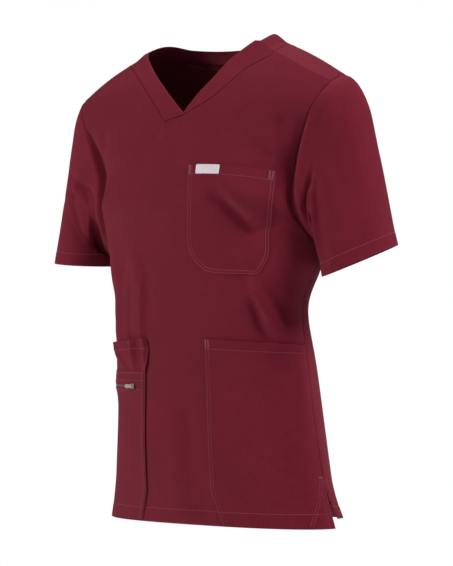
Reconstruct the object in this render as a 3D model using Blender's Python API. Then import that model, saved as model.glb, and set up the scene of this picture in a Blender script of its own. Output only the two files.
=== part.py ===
"""A V-neck scrub top in medical workwear cloth, filled out as if worn, with no wearer in it.

Metres, +Z up. The wearer faces -Y and the wearer's left is +X. The origin is the middle of the
neck opening, level with the front ends of the shoulder seams.

The front and the back are each one smooth sheet: rows of cubic curves across the body, splined
through a table of sections. A place on a sheet is (row, across). Row counts the table's sections
up from the hem, and across runs from -1 at the wearer's right edge to 1 at the left edge. Sleeves,
bands and pockets are worked out from places on those two sheets.
"""

from math import copysign, cos, exp, hypot, pi, radians, sin

import bmesh
import bpy
import numpy as np
from mathutils import Matrix

# Cloth and seams
CLOTH = 0.0012  # one layer of the body cloth, as a wall
BAND = 0.0018  # the neckband is cloth folded double
HALF_GAP = 0.00015  # each side of a seam stands back by this
LIFT = 0.0008  # a patch stands off the cloth under it by this
TRIM = 0.0010  # the tag and the label

# Sections up the side seam: where the front and the back meet, wearer's left
SIDE = (
    # name, x, y, z
    ("hem", 0.203, 0.029, -0.716),
    ("vent", 0.193, 0.023, -0.655),
    ("hip", 0.184, 0.017, -0.595),
    ("high hip", 0.177, 0.011, -0.530),
    ("low waist", 0.172, 0.005, -0.458),
    ("waist", 0.170, 0.000, -0.390),
    ("ribs", 0.191, 0.002, -0.338),
    ("armpit", 0.2035, 0.001, -0.312),
)
# Sections up the front and the back of the armhole, armpit to shoulder seam, wearer's left
ARMHOLE_FRONT = (
    # name, x, y, z
    ("armpit", 0.2035, 0.001, -0.312),
    ("low chest", 0.1885, -0.0445, -0.250),
    ("chest", 0.1875, -0.0465, -0.198),
    ("high chest", 0.196, -0.0488, -0.163),
    ("V point", 0.2065, -0.0483, -0.136),
    ("low neck", 0.2195, -0.0480, -0.110),
    ("mid neck", 0.232, -0.0410, -0.0875),
    ("shoulder", 0.2405, -0.027, -0.0705),
)
ARMHOLE_BACK = (
    # name, x, y, z
    ("armpit", 0.2035, 0.001, -0.312),
    ("low blade", 0.205, 0.021, -0.245),
    ("blade", 0.202, 0.036, -0.198),
    ("high blade", 0.2025, 0.049, -0.157),
    ("yoke", 0.208, 0.053, -0.119),
    ("low neck", 0.221, 0.045, -0.085),
    ("nape", 0.2345, 0.030, -0.0655),
    ("ridge", 0.2425, 0.003, -0.0575),
    ("shoulder", 0.2405, -0.027, -0.0705),
)
# Sections of the sheets: a row starts level at the middle line, runs level for a while, and its
# outer end is aimed back along (aim_x, aim_y, aim_z)
FRONT_ROWS = (
    # name, mid_y, mid_z, level, aim_x, aim_y, aim_z
    ("hem", -0.063, -0.716, 0.117, -0.006, -0.060, 0.0),
    ("vent", -0.0705, -0.655, 0.116, -0.002, -0.061, 0.0),
    ("hip", -0.0755, -0.595, 0.110, 0.0, -0.060, 0.0),
    ("high hip", -0.078, -0.530, 0.107, 0.0, -0.059, 0.0),
    ("low waist", -0.0805, -0.458, 0.111, 0.0, -0.059, 0.0),
    ("waist", -0.082, -0.390, 0.117, 0.0, -0.062, 0.0),
    ("ribs", -0.084, -0.328, 0.117, 0.0, -0.060, 0.0),
    ("armpit", -0.086, -0.268, 0.108, -0.004, -0.050, 0.041),
    ("low chest", -0.0855, -0.225, 0.105, -0.022, -0.038, 0.017),
    ("chest", -0.080, -0.180, 0.100, -0.042, -0.028, 0.006),
    ("high chest", -0.0735, -0.140, 0.095, -0.052, -0.020, 0.010),
    ("V point", -0.0715, -0.1125, 0.090, -0.056, -0.016, 0.014),
    ("low neck", -0.064, -0.080, 0.088, -0.062, -0.016, 0.022),
    ("mid neck", -0.045, -0.036, 0.085, -0.074, -0.018, 0.034),
    ("shoulder", -0.010, 0.012, 0.080, -0.0936, -0.020, 0.052),
)
BACK_ROWS = (
    # name, mid_y, mid_z, level, aim_x, aim_y, aim_z
    ("hem", 0.124, -0.712, 0.105, 0.0, 0.050, 0.0),
    ("vent", 0.127, -0.655, 0.107, 0.0, 0.054, 0.0),
    ("hip", 0.127, -0.595, 0.107, 0.0, 0.058, 0.0),
    ("high hip", 0.120, -0.530, 0.105, 0.0, 0.058, 0.0),
    ("low waist", 0.105, -0.458, 0.098, 0.0, 0.051, 0.0),
    ("waist", 0.092, -0.390, 0.092, 0.0, 0.042, 0.0),
    ("ribs", 0.094, -0.328, 0.102, 0.0, 0.048, 0.0),
    ("armpit", 0.100, -0.268, 0.104, -0.003, 0.046, 0.041),
    ("low blade", 0.107, -0.225, 0.105, -0.020, 0.042, 0.004),
    ("blade", 0.112, -0.180, 0.103, -0.038, 0.034, 0.006),
    ("high blade", 0.112, -0.130, 0.100, -0.048, 0.026, 0.010),
    ("yoke", 0.106, -0.080, 0.095, -0.054, 0.024, 0.018),
    ("low neck", 0.092, -0.035, 0.090, -0.062, 0.022, 0.030),
    ("nape", 0.070, 0.002, 0.085, -0.074, 0.014, 0.042),
    ("ridge", 0.032, 0.021, 0.082, -0.086, 0.002, 0.052),
    ("shoulder", -0.010, 0.012, 0.080, -0.0936, -0.020, 0.052),
)
ARMPIT = len(SIDE) - 1  # the row where the side seam ends and the armholes start
SHARED_ROWS = 3  # mesh rows between two sections, below the armpit
COLUMNS = 12  # mesh columns from the middle line to an edge
SNAP = 0.3  # a mesh line this part of its spacing from a patch's edge becomes the edge
SHARP = 50  # degrees; a sharper edge than this isn't shaded smooth

# Side vents: the slit's top, and how far the hem's corners spread from the side seam
VENT_TOP = -0.645
VENT_SPREAD = {"front": (0.007, -0.003, -0.001), "back": (0.005, 0.006, 0.013)}

# The neck: a V whose point is closed by the end of the wearer's right band, which lies over the
# left one. A seam line and an inner edge for each band, in the front view.
V_POINT = (-0.034, -0.1136)  # lower corner of the right band
V_CORNER = (0.001, -0.1066)  # the band's end meets its inner edge
V_INNER = (0.000, -0.1025)  # the two inner edges meet
SHOULDER_SEAM_X = 0.1385  # where the seam lines reach the shoulder seam
SHOULDER_EDGE_X = 0.111  # where the inner edges do
BAND_LAP = 0.002  # how far the right band's end laps over the left seam, across the row
BAND_SLANT = 0.003  # and further at its lower corner
BAND_COLUMNS = 3
LEFT_SEAM = (
    # z, x
    (-0.1136, -0.0340),
    (-0.1066, 0.0010),
    (-0.0945, 0.0290),
    (-0.0815, 0.0550),
    (-0.0643, 0.0765),
    (-0.0455, 0.0975),
    (-0.0342, 0.1180),
    (-0.0240, 0.1400),
)
RIGHT_SEAM = (
    # z, x
    (-0.1136, -0.0340),
    (-0.0851, -0.0625),
    (-0.0549, -0.0946),
    (-0.0390, -0.1140),
    (-0.0264, -0.1330),
    (-0.0210, -0.1400),
)
LEFT_EDGE = (
    # z, x
    (-0.1025, 0.0000),
    (-0.0735, 0.0235),
    (-0.0545, 0.0435),
    (-0.0330, 0.0640),
    (-0.0160, 0.0870),
    (0.0000, 0.1110),
)
RIGHT_EDGE = (
    # z, x
    (-0.1025, 0.0000),
    (-0.0864, -0.0198),
    (-0.0631, -0.0464),
    (-0.0389, -0.0767),
    (-0.0160, -0.1040),
    (0.0000, -0.1110),
)
BACK_SEAM = (
    # row, x: from the middle of the back round to the shoulder seam
    (12.200, 0.0000),
    (12.225, 0.0240),
    (12.300, 0.0460),
    (12.430, 0.0665),
    (12.620, 0.0850),
    (12.860, 0.1010),
    (13.150, 0.1142),
    (13.500, 0.1245),
    (13.850, 0.1315),
    (14.200, 0.1360),
    (14.600, 0.1385),
    (15.000, 0.1385),
)
BACK_EDGE = (
    # row, x, across the band from the same places
    (13.020, 0.0000),
    (13.035, 0.0180),
    (13.085, 0.0352),
    (13.170, 0.0510),
    (13.300, 0.0660),
    (13.460, 0.0788),
    (13.660, 0.0895),
    (13.900, 0.0985),
    (14.160, 0.1045),
    (14.430, 0.1082),
    (14.710, 0.1105),
    (15.000, 0.1110),
)

# Sleeves: the cuff ring, and how the cloth leaves the armhole and comes down to the cuff
CUFF_CENTRE = {"left": (0.257, 0.018, -0.3285), "right": (0.263, 0.015, -0.3235)}
CUFF_RADIUS_IN = 0.0480  # towards the body, where the arm flattens it
CUFF_RADIUS_OUT = 0.0585
CUFF_RADIUS_Y = 0.0590
CUFF_TILT = {"left": (0.333, 0.251), "right": (0.080, 0.040)}  # rise outwards, rise backwards
ARM_DOWN = (0.215, 0.040, -0.976)
LEAVE_LOW = (1.0, 0.0, 0.05)  # the way the cloth leaves the armpit
REACH = (0.032, 0.049)  # how far the cloth runs on past the seam, at the armpit and on top
DROP = (0.030, 0.115)  # how far it hangs straight above the cuff, at the armpit and on top
SLEEVE_ROWS = 9

# Folds pressed or raised in the cloth, in the front view. Depth is out of the cloth: below 0 is a
# trough.
FRONT_FOLDS = (
    # name, from_x, from_z, to_x, to_z, depth, half width
    ("pocket trough", 0.076, -0.232, 0.128, -0.281, -0.0032, 0.014),
    ("pocket ridge", 0.092, -0.214, 0.146, -0.258, 0.0022, 0.016),
    ("left armhole hollow", 0.176, -0.130, 0.182, -0.215, -0.0055, 0.013),
    ("right armhole hollow", -0.176, -0.135, -0.182, -0.215, -0.0045, 0.013),
    ("left waist ridge", 0.1335, -0.372, 0.160, -0.445, 0.0040, 0.014),
    ("left rib trough", 0.128, -0.345, 0.164, -0.400, -0.0030, 0.016),
    ("right waist ridge", -0.088, -0.320, -0.104, -0.415, 0.0030, 0.013),
    ("right rib trough", -0.120, -0.335, -0.148, -0.410, -0.0025, 0.013),
    ("right side hollow", -0.182, -0.325, -0.170, -0.370, -0.0075, 0.024),
    ("right side fullness", -0.164, -0.415, -0.160, -0.500, 0.0030, 0.026),
    ("hem trough", 0.020, -0.560, 0.032, -0.690, -0.0020, 0.018),
)
BACK_FOLDS = (
    # name, from_x, from_z, to_x, to_z, depth, half width
    ("left drag", 0.150, -0.190, 0.085, -0.330, 0.0030, 0.017),
    ("right drag", -0.150, -0.205, -0.095, -0.345, 0.0030, 0.017),
    ("left waist trough", 0.115, -0.350, 0.060, -0.440, -0.0040, 0.016),
    ("right waist trough", -0.118, -0.362, -0.052, -0.430, -0.0035, 0.016),
    ("middle ridge", 0.012, -0.400, -0.006, -0.545, 0.0025, 0.020),
)
SLEEVE_FOLDS = (
    # side, from turn and way down, to turn and way down, depth, half width in both
    ("left", 0.24, 0.30, 0.20, 0.90, -0.0035, 0.045),
    ("left", 0.80, 0.35, 0.84, 0.85, -0.0030, 0.050),
    ("left", 0.50, 0.13, 0.50, 0.28, 0.0045, 0.130),
    ("left", 0.50, 0.58, 0.50, 0.90, -0.0025, 0.140),
    ("right", 0.36, 0.50, 0.20, 0.66, -0.0035, 0.045),
    ("right", 0.33, 0.66, 0.20, 0.74, -0.0020, 0.035),
    ("right", 0.78, 0.40, 0.82, 0.85, -0.0030, 0.050),
    ("right", 0.50, 0.35, 0.50, 0.80, -0.0025, 0.140),
)

# Patches: edges as distances along the cloth from the middle line, or, below 0, from the side
# seam, at heights on the middle line
CHEST_POCKET = (
    # z, inner, outer
    (-0.3435, 0.0700, 0.1365),
    (-0.3393, 0.0506, 0.1420),
    (-0.3295, 0.0375, 0.1490),
    (-0.3177, 0.0267, 0.1553),
    (-0.3074, 0.0223, 0.1572),
    (-0.2955, 0.0205, 0.1572),
    (-0.2794, 0.0208, 0.1572),
    (-0.2630, 0.0215, 0.1605),
    (-0.2424, 0.0217, 0.1667),
    (-0.2224, 0.0217, 0.1712),
    (-0.2055, 0.0217, 0.1718),
    (-0.1822, 0.0217, 0.1692),
)
TAG_Z = (-0.1958, -0.1822)
TAG_EDGES = (0.0343, 0.0775)
LEFT_POCKET = (
    # z, inner, outer
    (-0.712, 0.0685, -0.024),
    (-0.672, 0.0520, -0.009),
    (-0.640, 0.0508, -0.004),
    (-0.440, 0.0500, -0.004),
)
RIGHT_POCKET = (
    # z, inner, outer
    (-0.712, 0.0900, -0.024),
    (-0.672, 0.0760, -0.009),
    (-0.578, 0.0736, -0.004),
    (-0.489, 0.0687, -0.004),
    (-0.440, 0.0630, -0.004),
)
PHONE_POCKET = (
    # z, inner, outer
    (-0.712, 0.0945, -0.026),
    (-0.672, 0.0800, -0.010),
    (-0.578, 0.0776, -0.005),
    (-0.491, 0.0727, -0.005),
)
MOUTH_GAPE = 0.0022  # how far the right pocket's mouth stands open
MOUTH_REACH = 0.035  # how far down it does
MOUTH_BUMPS = 2.5
MOUTH_SLOPE = 0.13  # a lower pocket's mouth ends this far down, in rows, at the side
SLOPE_REACH = 0.060  # how far down the pocket the slope is felt

# The zip along the phone pocket, and its slider and pull
ZIP_Z = -0.5115
ZIP_HALF = 0.0030
ZIP_EDGES = (0.0905, 0.170)
ZIP_THICK = 0.0010
SLIDER_AT = 0.0965  # along the cloth from the middle line
SLIDER_SIZE = (0.0085, 0.0070, 0.0012)
BRIDGE_LENGTH = 0.0050
BRIDGE_WIDTH = 0.0016
BRIDGE_INSIDE = 0.0022
BRIDGE_THICK = 0.0006
BRIDGE_SUNK = 0.0002  # how far its posts go into the plate
AXIS_HEIGHT = 0.0012  # the tab's crossbar turns this far above the slider's plate
PULL_LENGTH = 0.0180
PULL_WIDTH = 0.0056
PULL_THICK = 0.0009
PULL_BAR = 0.0009
PULL_HOLE = (0.0034, 0.0030)  # along the tab, across it

# The label inside the back of the neck
LABEL_ROWS = (11.45, 12.10)
LABEL_HALF = 0.032
LABEL_GRID = (4, 7)

# Finishes: colour, roughness, metallic
CLOTH_FINISH = ((0.150, 0.011, 0.023, 1.0), 0.85, 0.0)
TAG_FINISH = ((0.42, 0.40, 0.41, 1.0), 0.55, 0.0)
METAL_FINISH = ((0.62, 0.60, 0.58, 1.0), 0.30, 1.0)
LABEL_FINISH = ((0.85, 0.84, 0.82, 1.0), 0.75, 0.0)


def spline(rows):
    """A smooth curve through rows of values at 0, 1, 2 and so on: a natural cubic spline."""
    values = np.array(rows, float)
    last = len(values) - 1
    bend = np.zeros_like(values)
    system = 4 * np.eye(last - 1) + np.eye(last - 1, k=1) + np.eye(last - 1, k=-1)
    bend[1:-1] = np.linalg.solve(system, 6 * np.diff(values, 2, axis=0))

    def at(place):
        low = min(max(int(place), 0), last - 1)
        right = place - low
        left = 1 - right
        straight = left * values[low] + right * values[low + 1]
        return straight + ((left**3 - left) * bend[low] + (right**3 - right) * bend[low + 1]) / 6

    return at


def cubic(part, *handles):
    """A place on the curve that leaves its first handle for the second, and ends at the last."""
    left = 1 - part
    weights = (left**3, 3 * part * left**2, 3 * part**2 * left, part**3)
    return weights @ np.array(handles)


def solve(function, low, high, steps=30):
    """Where a rising function crosses 0, by halving."""
    for _ in range(steps):
        middle = (low + high) / 2
        if function(middle) < 0:
            low = middle
        else:
            high = middle
    return (low + high) / 2


def table_value(table, key, column=1):
    """A table's column at this key, straight between its rows."""
    return float(np.interp(key, [row[0] for row in table], [row[column] for row in table]))


def fold_depth(folds, u, v):
    """How far the folds move the cloth out at (u, v)."""
    total = 0.0
    for *_, from_u, from_v, to_u, to_v, depth, width in folds:
        run_u = to_u - from_u
        run_v = to_v - from_v
        part = ((u - from_u) * run_u + (v - from_v) * run_v) / (run_u**2 + run_v**2)
        part = min(max(part, 0.0), 1.0)
        away = hypot(u - from_u - part * run_u, v - from_v - part * run_v)
        total += depth * exp(-((away / width) ** 2))
    return total


def unit(vector):
    return vector / np.linalg.norm(vector)


class Sheet:
    """The front or the back of the body."""

    def __init__(self, name, rows, armhole, folds):
        self.rows = spline([row[1:] for row in rows])
        self.side = spline([row[1:] for row in SIDE])
        self.armhole = spline([row[1:] for row in armhole])
        self.last = len(rows) - 1
        self.facing = 1 if name == "front" else -1
        self.spread = np.array(VENT_SPREAD[name])
        self.folds = folds
        self.halves = {}

    def end(self, row):
        """The outer edge: the side seam, spread at the vent, then the armhole."""
        if row >= ARMPIT:
            return self.armhole(row - ARMPIT)
        point = self.side(row)
        open_part = (VENT_TOP - point[2]) / (VENT_TOP - SIDE[0][3])
        return point + self.spread * max(open_part, 0.0) ** 1.5

    def bare(self, row, across):
        """The sheet with no folds."""
        mid_y, mid_z, level, *aim = self.rows(row)
        end = self.end(row)
        point = cubic(abs(across), (0.0, mid_y, mid_z), (level, mid_y, mid_z), end + aim, end)
        point[0] = copysign(point[0], across)
        return point

    def slopes(self, surface, row, across, step=0.03):
        """How the surface runs: across the row, and up."""
        sideways = surface(row, across + step / 4) - surface(row, across - step / 4)
        up = surface(row + step, across) - surface(row - step, across)
        return sideways, up

    def out(self, surface, row, across):
        """The way out of the garment."""
        sideways, up = self.slopes(surface, row, across)
        return unit(np.cross(sideways, up)) * self.facing

    def point(self, row, across):
        bare = self.bare(row, across)
        edge_fade = max(1 - abs(across) ** 6, 0.0) * min(max(self.last - row, 0.0), 1.0)
        depth = fold_depth(self.folds, bare[0], bare[2]) * edge_fade
        if abs(depth) < 1e-5:
            return bare
        return bare + self.out(self.bare, row, across) * depth

    def normal(self, row, across):
        """The way out, the same for both sheets where they are sewn together."""
        out = self.out(self.point, row, across)
        on_side = abs(across) == 1 and row <= ARMPIT
        if row == self.last or on_side:
            other = BACK if self is FRONT else FRONT
            other_row = other.last if row == self.last else row
            out = unit(out + other.out(other.point, other_row, across))
        return out

    def across_at(self, row, x):
        """The place on a row that lies this far to the wearer's left."""
        part = solve(lambda part: self.bare(row, part)[0] - abs(x), 0.0, 1.0)
        return copysign(part, x)

    def across_along(self, row, distance):
        """The place on a row this far along the cloth from the middle line, or, below 0, from the
        side seam."""
        parts = np.linspace(0, 1, 33)
        points = np.array([self.bare(row, part) for part in parts])
        run = np.concatenate(([0], np.cumsum(np.linalg.norm(np.diff(points, axis=0), axis=1))))
        return float(np.interp(distance if distance > 0 else run[-1] + distance, run, parts))

    def row_at(self, x, z):
        """The row that passes through a place in the front view."""
        return solve(lambda row: self.bare(row, self.across_at(row, x))[2] - z, 0, self.last)

    def row_of(self, z):
        """The row whose middle has this height."""
        return solve(lambda row: self.rows(row)[1] - z, 0, self.last)

    def on_line(self, row, line, sign):
        """Where a row crosses a line of the front view, given as rows of (z, x)."""

        def past(part):
            point = self.bare(row, part)
            return sign * (point[0] - table_value(line, point[2]))

        if sign > 0:
            return solve(past, -0.3, 1.0)
        return -solve(lambda part: past(-part), -0.3, 1.0)

    def grid(self, rows, places):
        """Points and normals at rows of places."""
        points = [[self.point(row, part) for part in line] for row, line in zip(rows, places)]
        normals = [[self.normal(row, part) for part in line] for row, line in zip(rows, places)]
        return np.array(points), np.array(normals)

    def lay(self, rows, places):
        """Points and normals at rows of places, on the facets of the sheet's wall."""
        found = [
            [self.on_facet(row, part) for row, part in zip(np.broadcast_to(line_rows, len(line)), line)]
            for line_rows, line in zip(rows, places)
        ]
        return np.moveaxis(np.array(found), 2, 0)

    def on_facet(self, row, part):
        lines, places, skins = self.halves[1 if part > 0 else -1]
        i = min(int(np.searchsorted(lines, row, side="right")) - 1, len(lines) - 2)
        up = (row - lines[i]) / (lines[i + 1] - lines[i])
        stops = np.abs((1 - up) * places[i] + up * places[i + 1])
        j = min(max(int(np.searchsorted(stops, abs(part), side="right")) - 1, 0), COLUMNS - 1)
        along = (abs(part) - stops[j]) / (stops[j + 1] - stops[j])
        near, far = skins[:, i, j], skins[:, i + 1, j + 1]
        if along >= up:
            return near * (1 - along) + skins[:, i, j + 1] * (along - up) + far * up
        return near * (1 - up) + skins[:, i + 1, j] * (up - along) + far * along


FRONT = Sheet("front", FRONT_ROWS, ARMHOLE_FRONT, FRONT_FOLDS)
BACK = Sheet("back", BACK_ROWS, ARMHOLE_BACK, BACK_FOLDS)


def stand_back(points, *edges):
    """The grid with some of its edges drawn in by half a seam gap."""
    points = points.copy()
    for edge in edges:
        outer, inner = {
            "bottom": (np.s_[0], np.s_[1]),
            "top": (np.s_[-1], np.s_[-2]),
            "first": (np.s_[:, 0], np.s_[:, 1]),
            "last": (np.s_[:, -1], np.s_[:, -2]),
        }[edge]
        away = points[inner] - points[outer]
        along = np.gradient(points[outer], axis=0)
        along /= np.linalg.norm(along, axis=-1, keepdims=True)
        away -= along * np.sum(away * along, axis=-1, keepdims=True)
        points[outer] += away / np.linalg.norm(away, axis=-1, keepdims=True) * HALF_GAP
    return points


class Wall:
    """A closed wall, made of patches that share their common points."""

    def __init__(self, name, finish):
        self.name = name
        self.finish = finish
        self.mesh = bmesh.new()
        self.skins = {}

    def pair(self, outer, inner):
        key = tuple(np.round(outer, 7))
        if key not in self.skins:
            made = [self.mesh.verts.new(tuple(point)) for point in (outer, inner)]
            self.skins[key] = made
        return self.skins[key]

    def patch(self, points, normals, thick):
        """Faces on a grid of points, and on the same grid moved in along its normals."""
        inner = points - normals * np.expand_dims(np.broadcast_to(thick, points.shape[:2]), -1)
        height, width = points.shape[:2]
        facing = np.cross(points[1:, 1:] - points[:-1, :-1], points[1:, :-1] - points[:-1, 1:])
        flip = np.sum(facing * normals[:-1, :-1]) < 0
        for i in range(height - 1):
            for j in range(width - 1):
                near, far = (i, j), (i + 1, j + 1)
                for corners in ((near, (i, j + 1), far), (near, far, (i + 1, j))):
                    pairs = [self.pair(points[c], inner[c]) for c in corners]
                    if any(pair is pairs[k - 1] for k, pair in enumerate(pairs)):
                        continue
                    if flip:
                        pairs.reverse()
                    self.mesh.faces.new([pair[0] for pair in pairs])
                    self.mesh.faces.new([pair[1] for pair in reversed(pairs)])

    def finished(self):
        """The object, once the open edges of its two skins are joined."""
        other = {}
        for outer, inner in self.skins.values():
            other[outer] = inner
        rims = [
            (loop.vert, loop.link_loop_next.vert)
            for face in self.mesh.faces
            for loop in face.loops
            if loop.edge.is_boundary and loop.vert in other
        ]
        for start, stop in rims:
            self.mesh.faces.new((stop, start, other[start], other[stop]))
        return as_object(self.name, self.mesh, self.finish)


def as_object(name, mesh, finish):
    """The named object of a bmesh, with its own material."""
    data = bpy.data.meshes.new(name)
    mesh.to_mesh(data)
    mesh.free()
    made = bpy.data.objects.new(name, data)
    bpy.data.collections["scrub top"].objects.link(made)
    give_material(made, finish)
    data.shade_smooth()
    data.set_sharp_from_angle(angle=radians(SHARP))
    return made


def give_material(made, finish):
    colour, roughness, metallic = finish
    material = bpy.data.materials.new(made.name)
    material.use_nodes = True
    shader = material.node_tree.nodes["Principled BSDF"]
    shader.inputs["Base Color"].default_value = colour
    shader.inputs["Roughness"].default_value = roughness
    shader.inputs["Metallic"].default_value = metallic
    made.data.materials.append(material)


def spaced(*stops):
    """Rows from stop to stop: (first, count, next, count, ..., last)."""
    rows = [stops[0]]
    for count, last in zip(stops[1::2], stops[2::2]):
        rows += list(np.linspace(rows[-1], last, count + 1)[1:])
    return rows


SHARED = spaced(0.0, SHARED_ROWS * ARMPIT, float(ARMPIT))
V_ROWS = [
    FRONT.row_at(*V_POINT),
    FRONT.row_at(*V_CORNER),
    FRONT.row_at(*V_INNER),
]
BELOW_V = spaced(float(ARMPIT), 8, V_ROWS[0])[1:]
ABOVE_V = spaced(V_ROWS[2], 9, float(FRONT.last))
UPPER_FRONT = BELOW_V + V_ROWS[1:] + ABOVE_V[1:]
BELOW_NECK = spaced(float(ARMPIT), 9, BACK_SEAM[0][0])[1:]
ABOVE_NECK = [row for row, _ in BACK_SEAM]
UPPER_BACK = BELOW_NECK + ABOVE_NECK[1:]


def front_neck(row, sign):
    """Where the front's neck seam crosses a row above the V's point."""
    if row <= V_ROWS[0]:
        return FRONT.across_at(row, V_POINT[0])
    if row >= FRONT.last:
        return sign * FRONT.across_at(row, SHOULDER_SEAM_X)
    return FRONT.on_line(row, LEFT_SEAM if sign > 0 else RIGHT_SEAM, sign)


def front_middle(row):
    """The place the front's two halves share: the middle line, led over to the V's point."""
    led = min(max((row - ARMPIT) / (V_ROWS[0] - ARMPIT), 0.0), 1.0)
    return led**2 * (3 - 2 * led) * front_neck(V_ROWS[0], 1)


def back_neck(row):
    return BACK.across_at(row, table_value(BACK_SEAM, row))


def fan(start, sign):
    """Places from a start to the wearer's left (1) or right (-1) edge."""
    return np.linspace(start, sign, COLUMNS + 1)


def body_panel(name, sheet, upper, neck_row, middle, neck):
    """The front or the back: one wall, open above the neck row between its two neck seams.
    Returns the edge of the wearer's left armhole, armpit first, as points and normals."""
    rows = SHARED + upper
    split = rows.index(neck_row)
    wall = Wall(name, CLOTH_FINISH)
    for sign in (1, -1):
        starts = [middle(row) if row <= neck_row else neck(row, sign) for row in rows]
        places = [fan(start, sign) for start in starts]
        points, normals = sheet.grid(rows, places)
        sheet.halves[sign] = rows, np.array(places), np.array((points, normals))
        if sign > 0:
            armhole = points[len(SHARED) - 1 :, -1].copy(), normals[len(SHARED) - 1 :, -1]
        points = stand_back(points, "last", "top")
        points[split:] = stand_back(points[split:], "first")
        # the point of the neck is shared, so both halves draw it straight down
        points[split, 0] = sheet.point(neck_row, starts[split]) - np.array((0, 0, HALF_GAP))
        wall.patch(points, normals, CLOTH)
    wall.finished()
    return armhole


def front_panel():
    return body_panel("front_panel", FRONT, UPPER_FRONT, V_ROWS[0], front_middle, front_neck)


def back_panel():
    def neck(row, sign):
        return sign * back_neck(row)

    return body_panel("back_panel", BACK, UPPER_BACK, BACK_SEAM[0][0], lambda row: 0.0, neck)


def sleeve(side, front_edge, back_edge):
    """A set-in sleeve: rings from the armhole to the tilted cuff."""
    edge = np.concatenate((front_edge[0], back_edge[0][-2::-1]))
    edge_normals = np.concatenate((front_edge[1], back_edge[1][-2::-1]))
    top = len(front_edge[0]) - 1
    run = np.concatenate(([0], np.cumsum(np.linalg.norm(np.diff(edge, axis=0), axis=1))))
    turns = np.where(
        np.arange(len(edge)) <= top,
        run / run[top] / 2,
        0.5 + (run - run[top]) / (run[-1] - run[top]) / 2,
    )
    down = unit(np.array(ARM_DOWN))
    folds = [fold for fold in SLEEVE_FOLDS if fold[0] == side]
    rise_out, rise_back = CUFF_TILT[side]
    rings = np.zeros((SLEEVE_ROWS + 1, len(edge), 3))
    for k, (start, out, turn) in enumerate(zip(edge, edge_normals, turns)):
        angle = 2 * pi * turn
        high = (1 - cos(angle)) / 2
        along = unit(np.gradient(edge, axis=0)[k])
        leave = unit(np.cross(along, out))
        leave = unit(leave * high + np.array(LEAVE_LOW) * (1 - high) ** 0.7)
        radius = CUFF_RADIUS_IN if cos(angle) > 0 else CUFF_RADIUS_OUT
        offset = np.array((-radius * cos(angle), -CUFF_RADIUS_Y * sin(angle), 0.0))
        offset[2] = rise_out * offset[0] + rise_back * offset[1]
        cuff = np.array(CUFF_CENTRE[side]) + offset
        reach = REACH[0] + (REACH[1] - REACH[0]) * high
        drop = DROP[0] + (DROP[1] - DROP[0]) * high
        for i in range(SLEEVE_ROWS + 1):
            part = i / SLEEVE_ROWS
            rings[i, k] = cubic(part, start, start + leave * reach, cuff - down * drop, cuff)
    normals = grid_normals(rings)
    for i in range(1, SLEEVE_ROWS + 1):
        for k in range(len(edge)):
            depth = fold_depth(folds, turns[k], i / SLEEVE_ROWS)
            rings[i, k] += normals[i, k] * depth
    rings[:, -1] = rings[:, 0]
    normals = grid_normals(rings)
    rings[0] += into_hole(edge, edge_normals) * HALF_GAP
    low = np.array([(1 + cos(2 * pi * turn)) / 2 for turn in turns])[:, None]
    normals[0] = edge_normals * (1 - low / 2) + normals[1] * low / 2
    normals[0] /= np.linalg.norm(normals[0], axis=-1, keepdims=True)
    points = rings
    if side == "right":
        points = points * (-1, 1, 1)
        normals = normals * (-1, 1, 1)
    wall = Wall("sleeve_" + side, CLOTH_FINISH)
    wall.patch(points, normals, CLOTH)
    wall.finished()


def into_hole(edge, normals):
    """At each point of a closed edge, the mitred way into the hole that it rings."""
    ahead = np.roll(edge[:-1], -1, axis=0) - edge[:-1]
    sides = np.cross(ahead, normals[:-1])
    sides /= np.linalg.norm(sides, axis=-1, keepdims=True)
    before = np.roll(sides, 1, axis=0)
    mitre = (sides + before) / (1 + np.sum(sides * before, axis=-1, keepdims=True))
    inward = np.mean(edge[:-1], axis=0) - edge[:-1]
    mitre *= copysign(1.0, np.sum(mitre * inward))
    return np.concatenate((mitre, mitre[:1]))


def grid_normals(rings):
    """Outward normals of rings that close on themselves, their last column on their first."""
    wrapped = np.concatenate((rings[:, -2:-1], rings, rings[:, 1:2]), axis=1)
    around = np.gradient(wrapped, axis=1)[:, 1:-1]
    down = np.gradient(rings, axis=0)
    normals = np.cross(down, around)
    return normals / np.linalg.norm(normals, axis=-1, keepdims=True)


def front_band(side):
    """One front half of the neckband, from the V to the shoulder seam."""
    sign = 1 if side == "left" else -1
    edge = LEFT_EDGE if side == "left" else RIGHT_EDGE
    rows = V_ROWS[1:2] + ABOVE_V if side == "left" else V_ROWS + ABOVE_V[1:]
    places = []
    for row in rows:
        seam = front_neck(row, sign)
        if row <= V_ROWS[1]:
            # the left band starts from nothing, and the right one ends along the left seam
            inner = front_neck(row, 1) + (0.0 if side == "right" else BAND_LAP)
            inner += BAND_SLANT if row == V_ROWS[0] else 0.0
        elif row == V_ROWS[2]:
            inner = FRONT.across_at(row, V_INNER[0])
        elif row >= FRONT.last:
            inner = sign * FRONT.across_at(row, SHOULDER_EDGE_X)
        else:
            inner = FRONT.on_line(row, edge, sign)
        places.append(np.linspace(seam, inner, BAND_COLUMNS + 1))
    points, normals = FRONT.grid(rows, places)
    points = stand_back(points, "first", "top")
    points[:3] = stand_back(points[:3], "last")
    if side == "left":
        points[0] += (2 * HALF_GAP, 0, 2 * HALF_GAP)
    thick = np.full(points.shape[:2], BAND)
    thick[:, 0] = CLOTH
    proud = (BAND - CLOTH) / 2
    points[:, 1:] += normals[:, 1:] * proud
    wall = Wall("neckband_" + side, CLOTH_FINISH)
    wall.patch(points, normals, thick)
    wall.finished()


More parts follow.
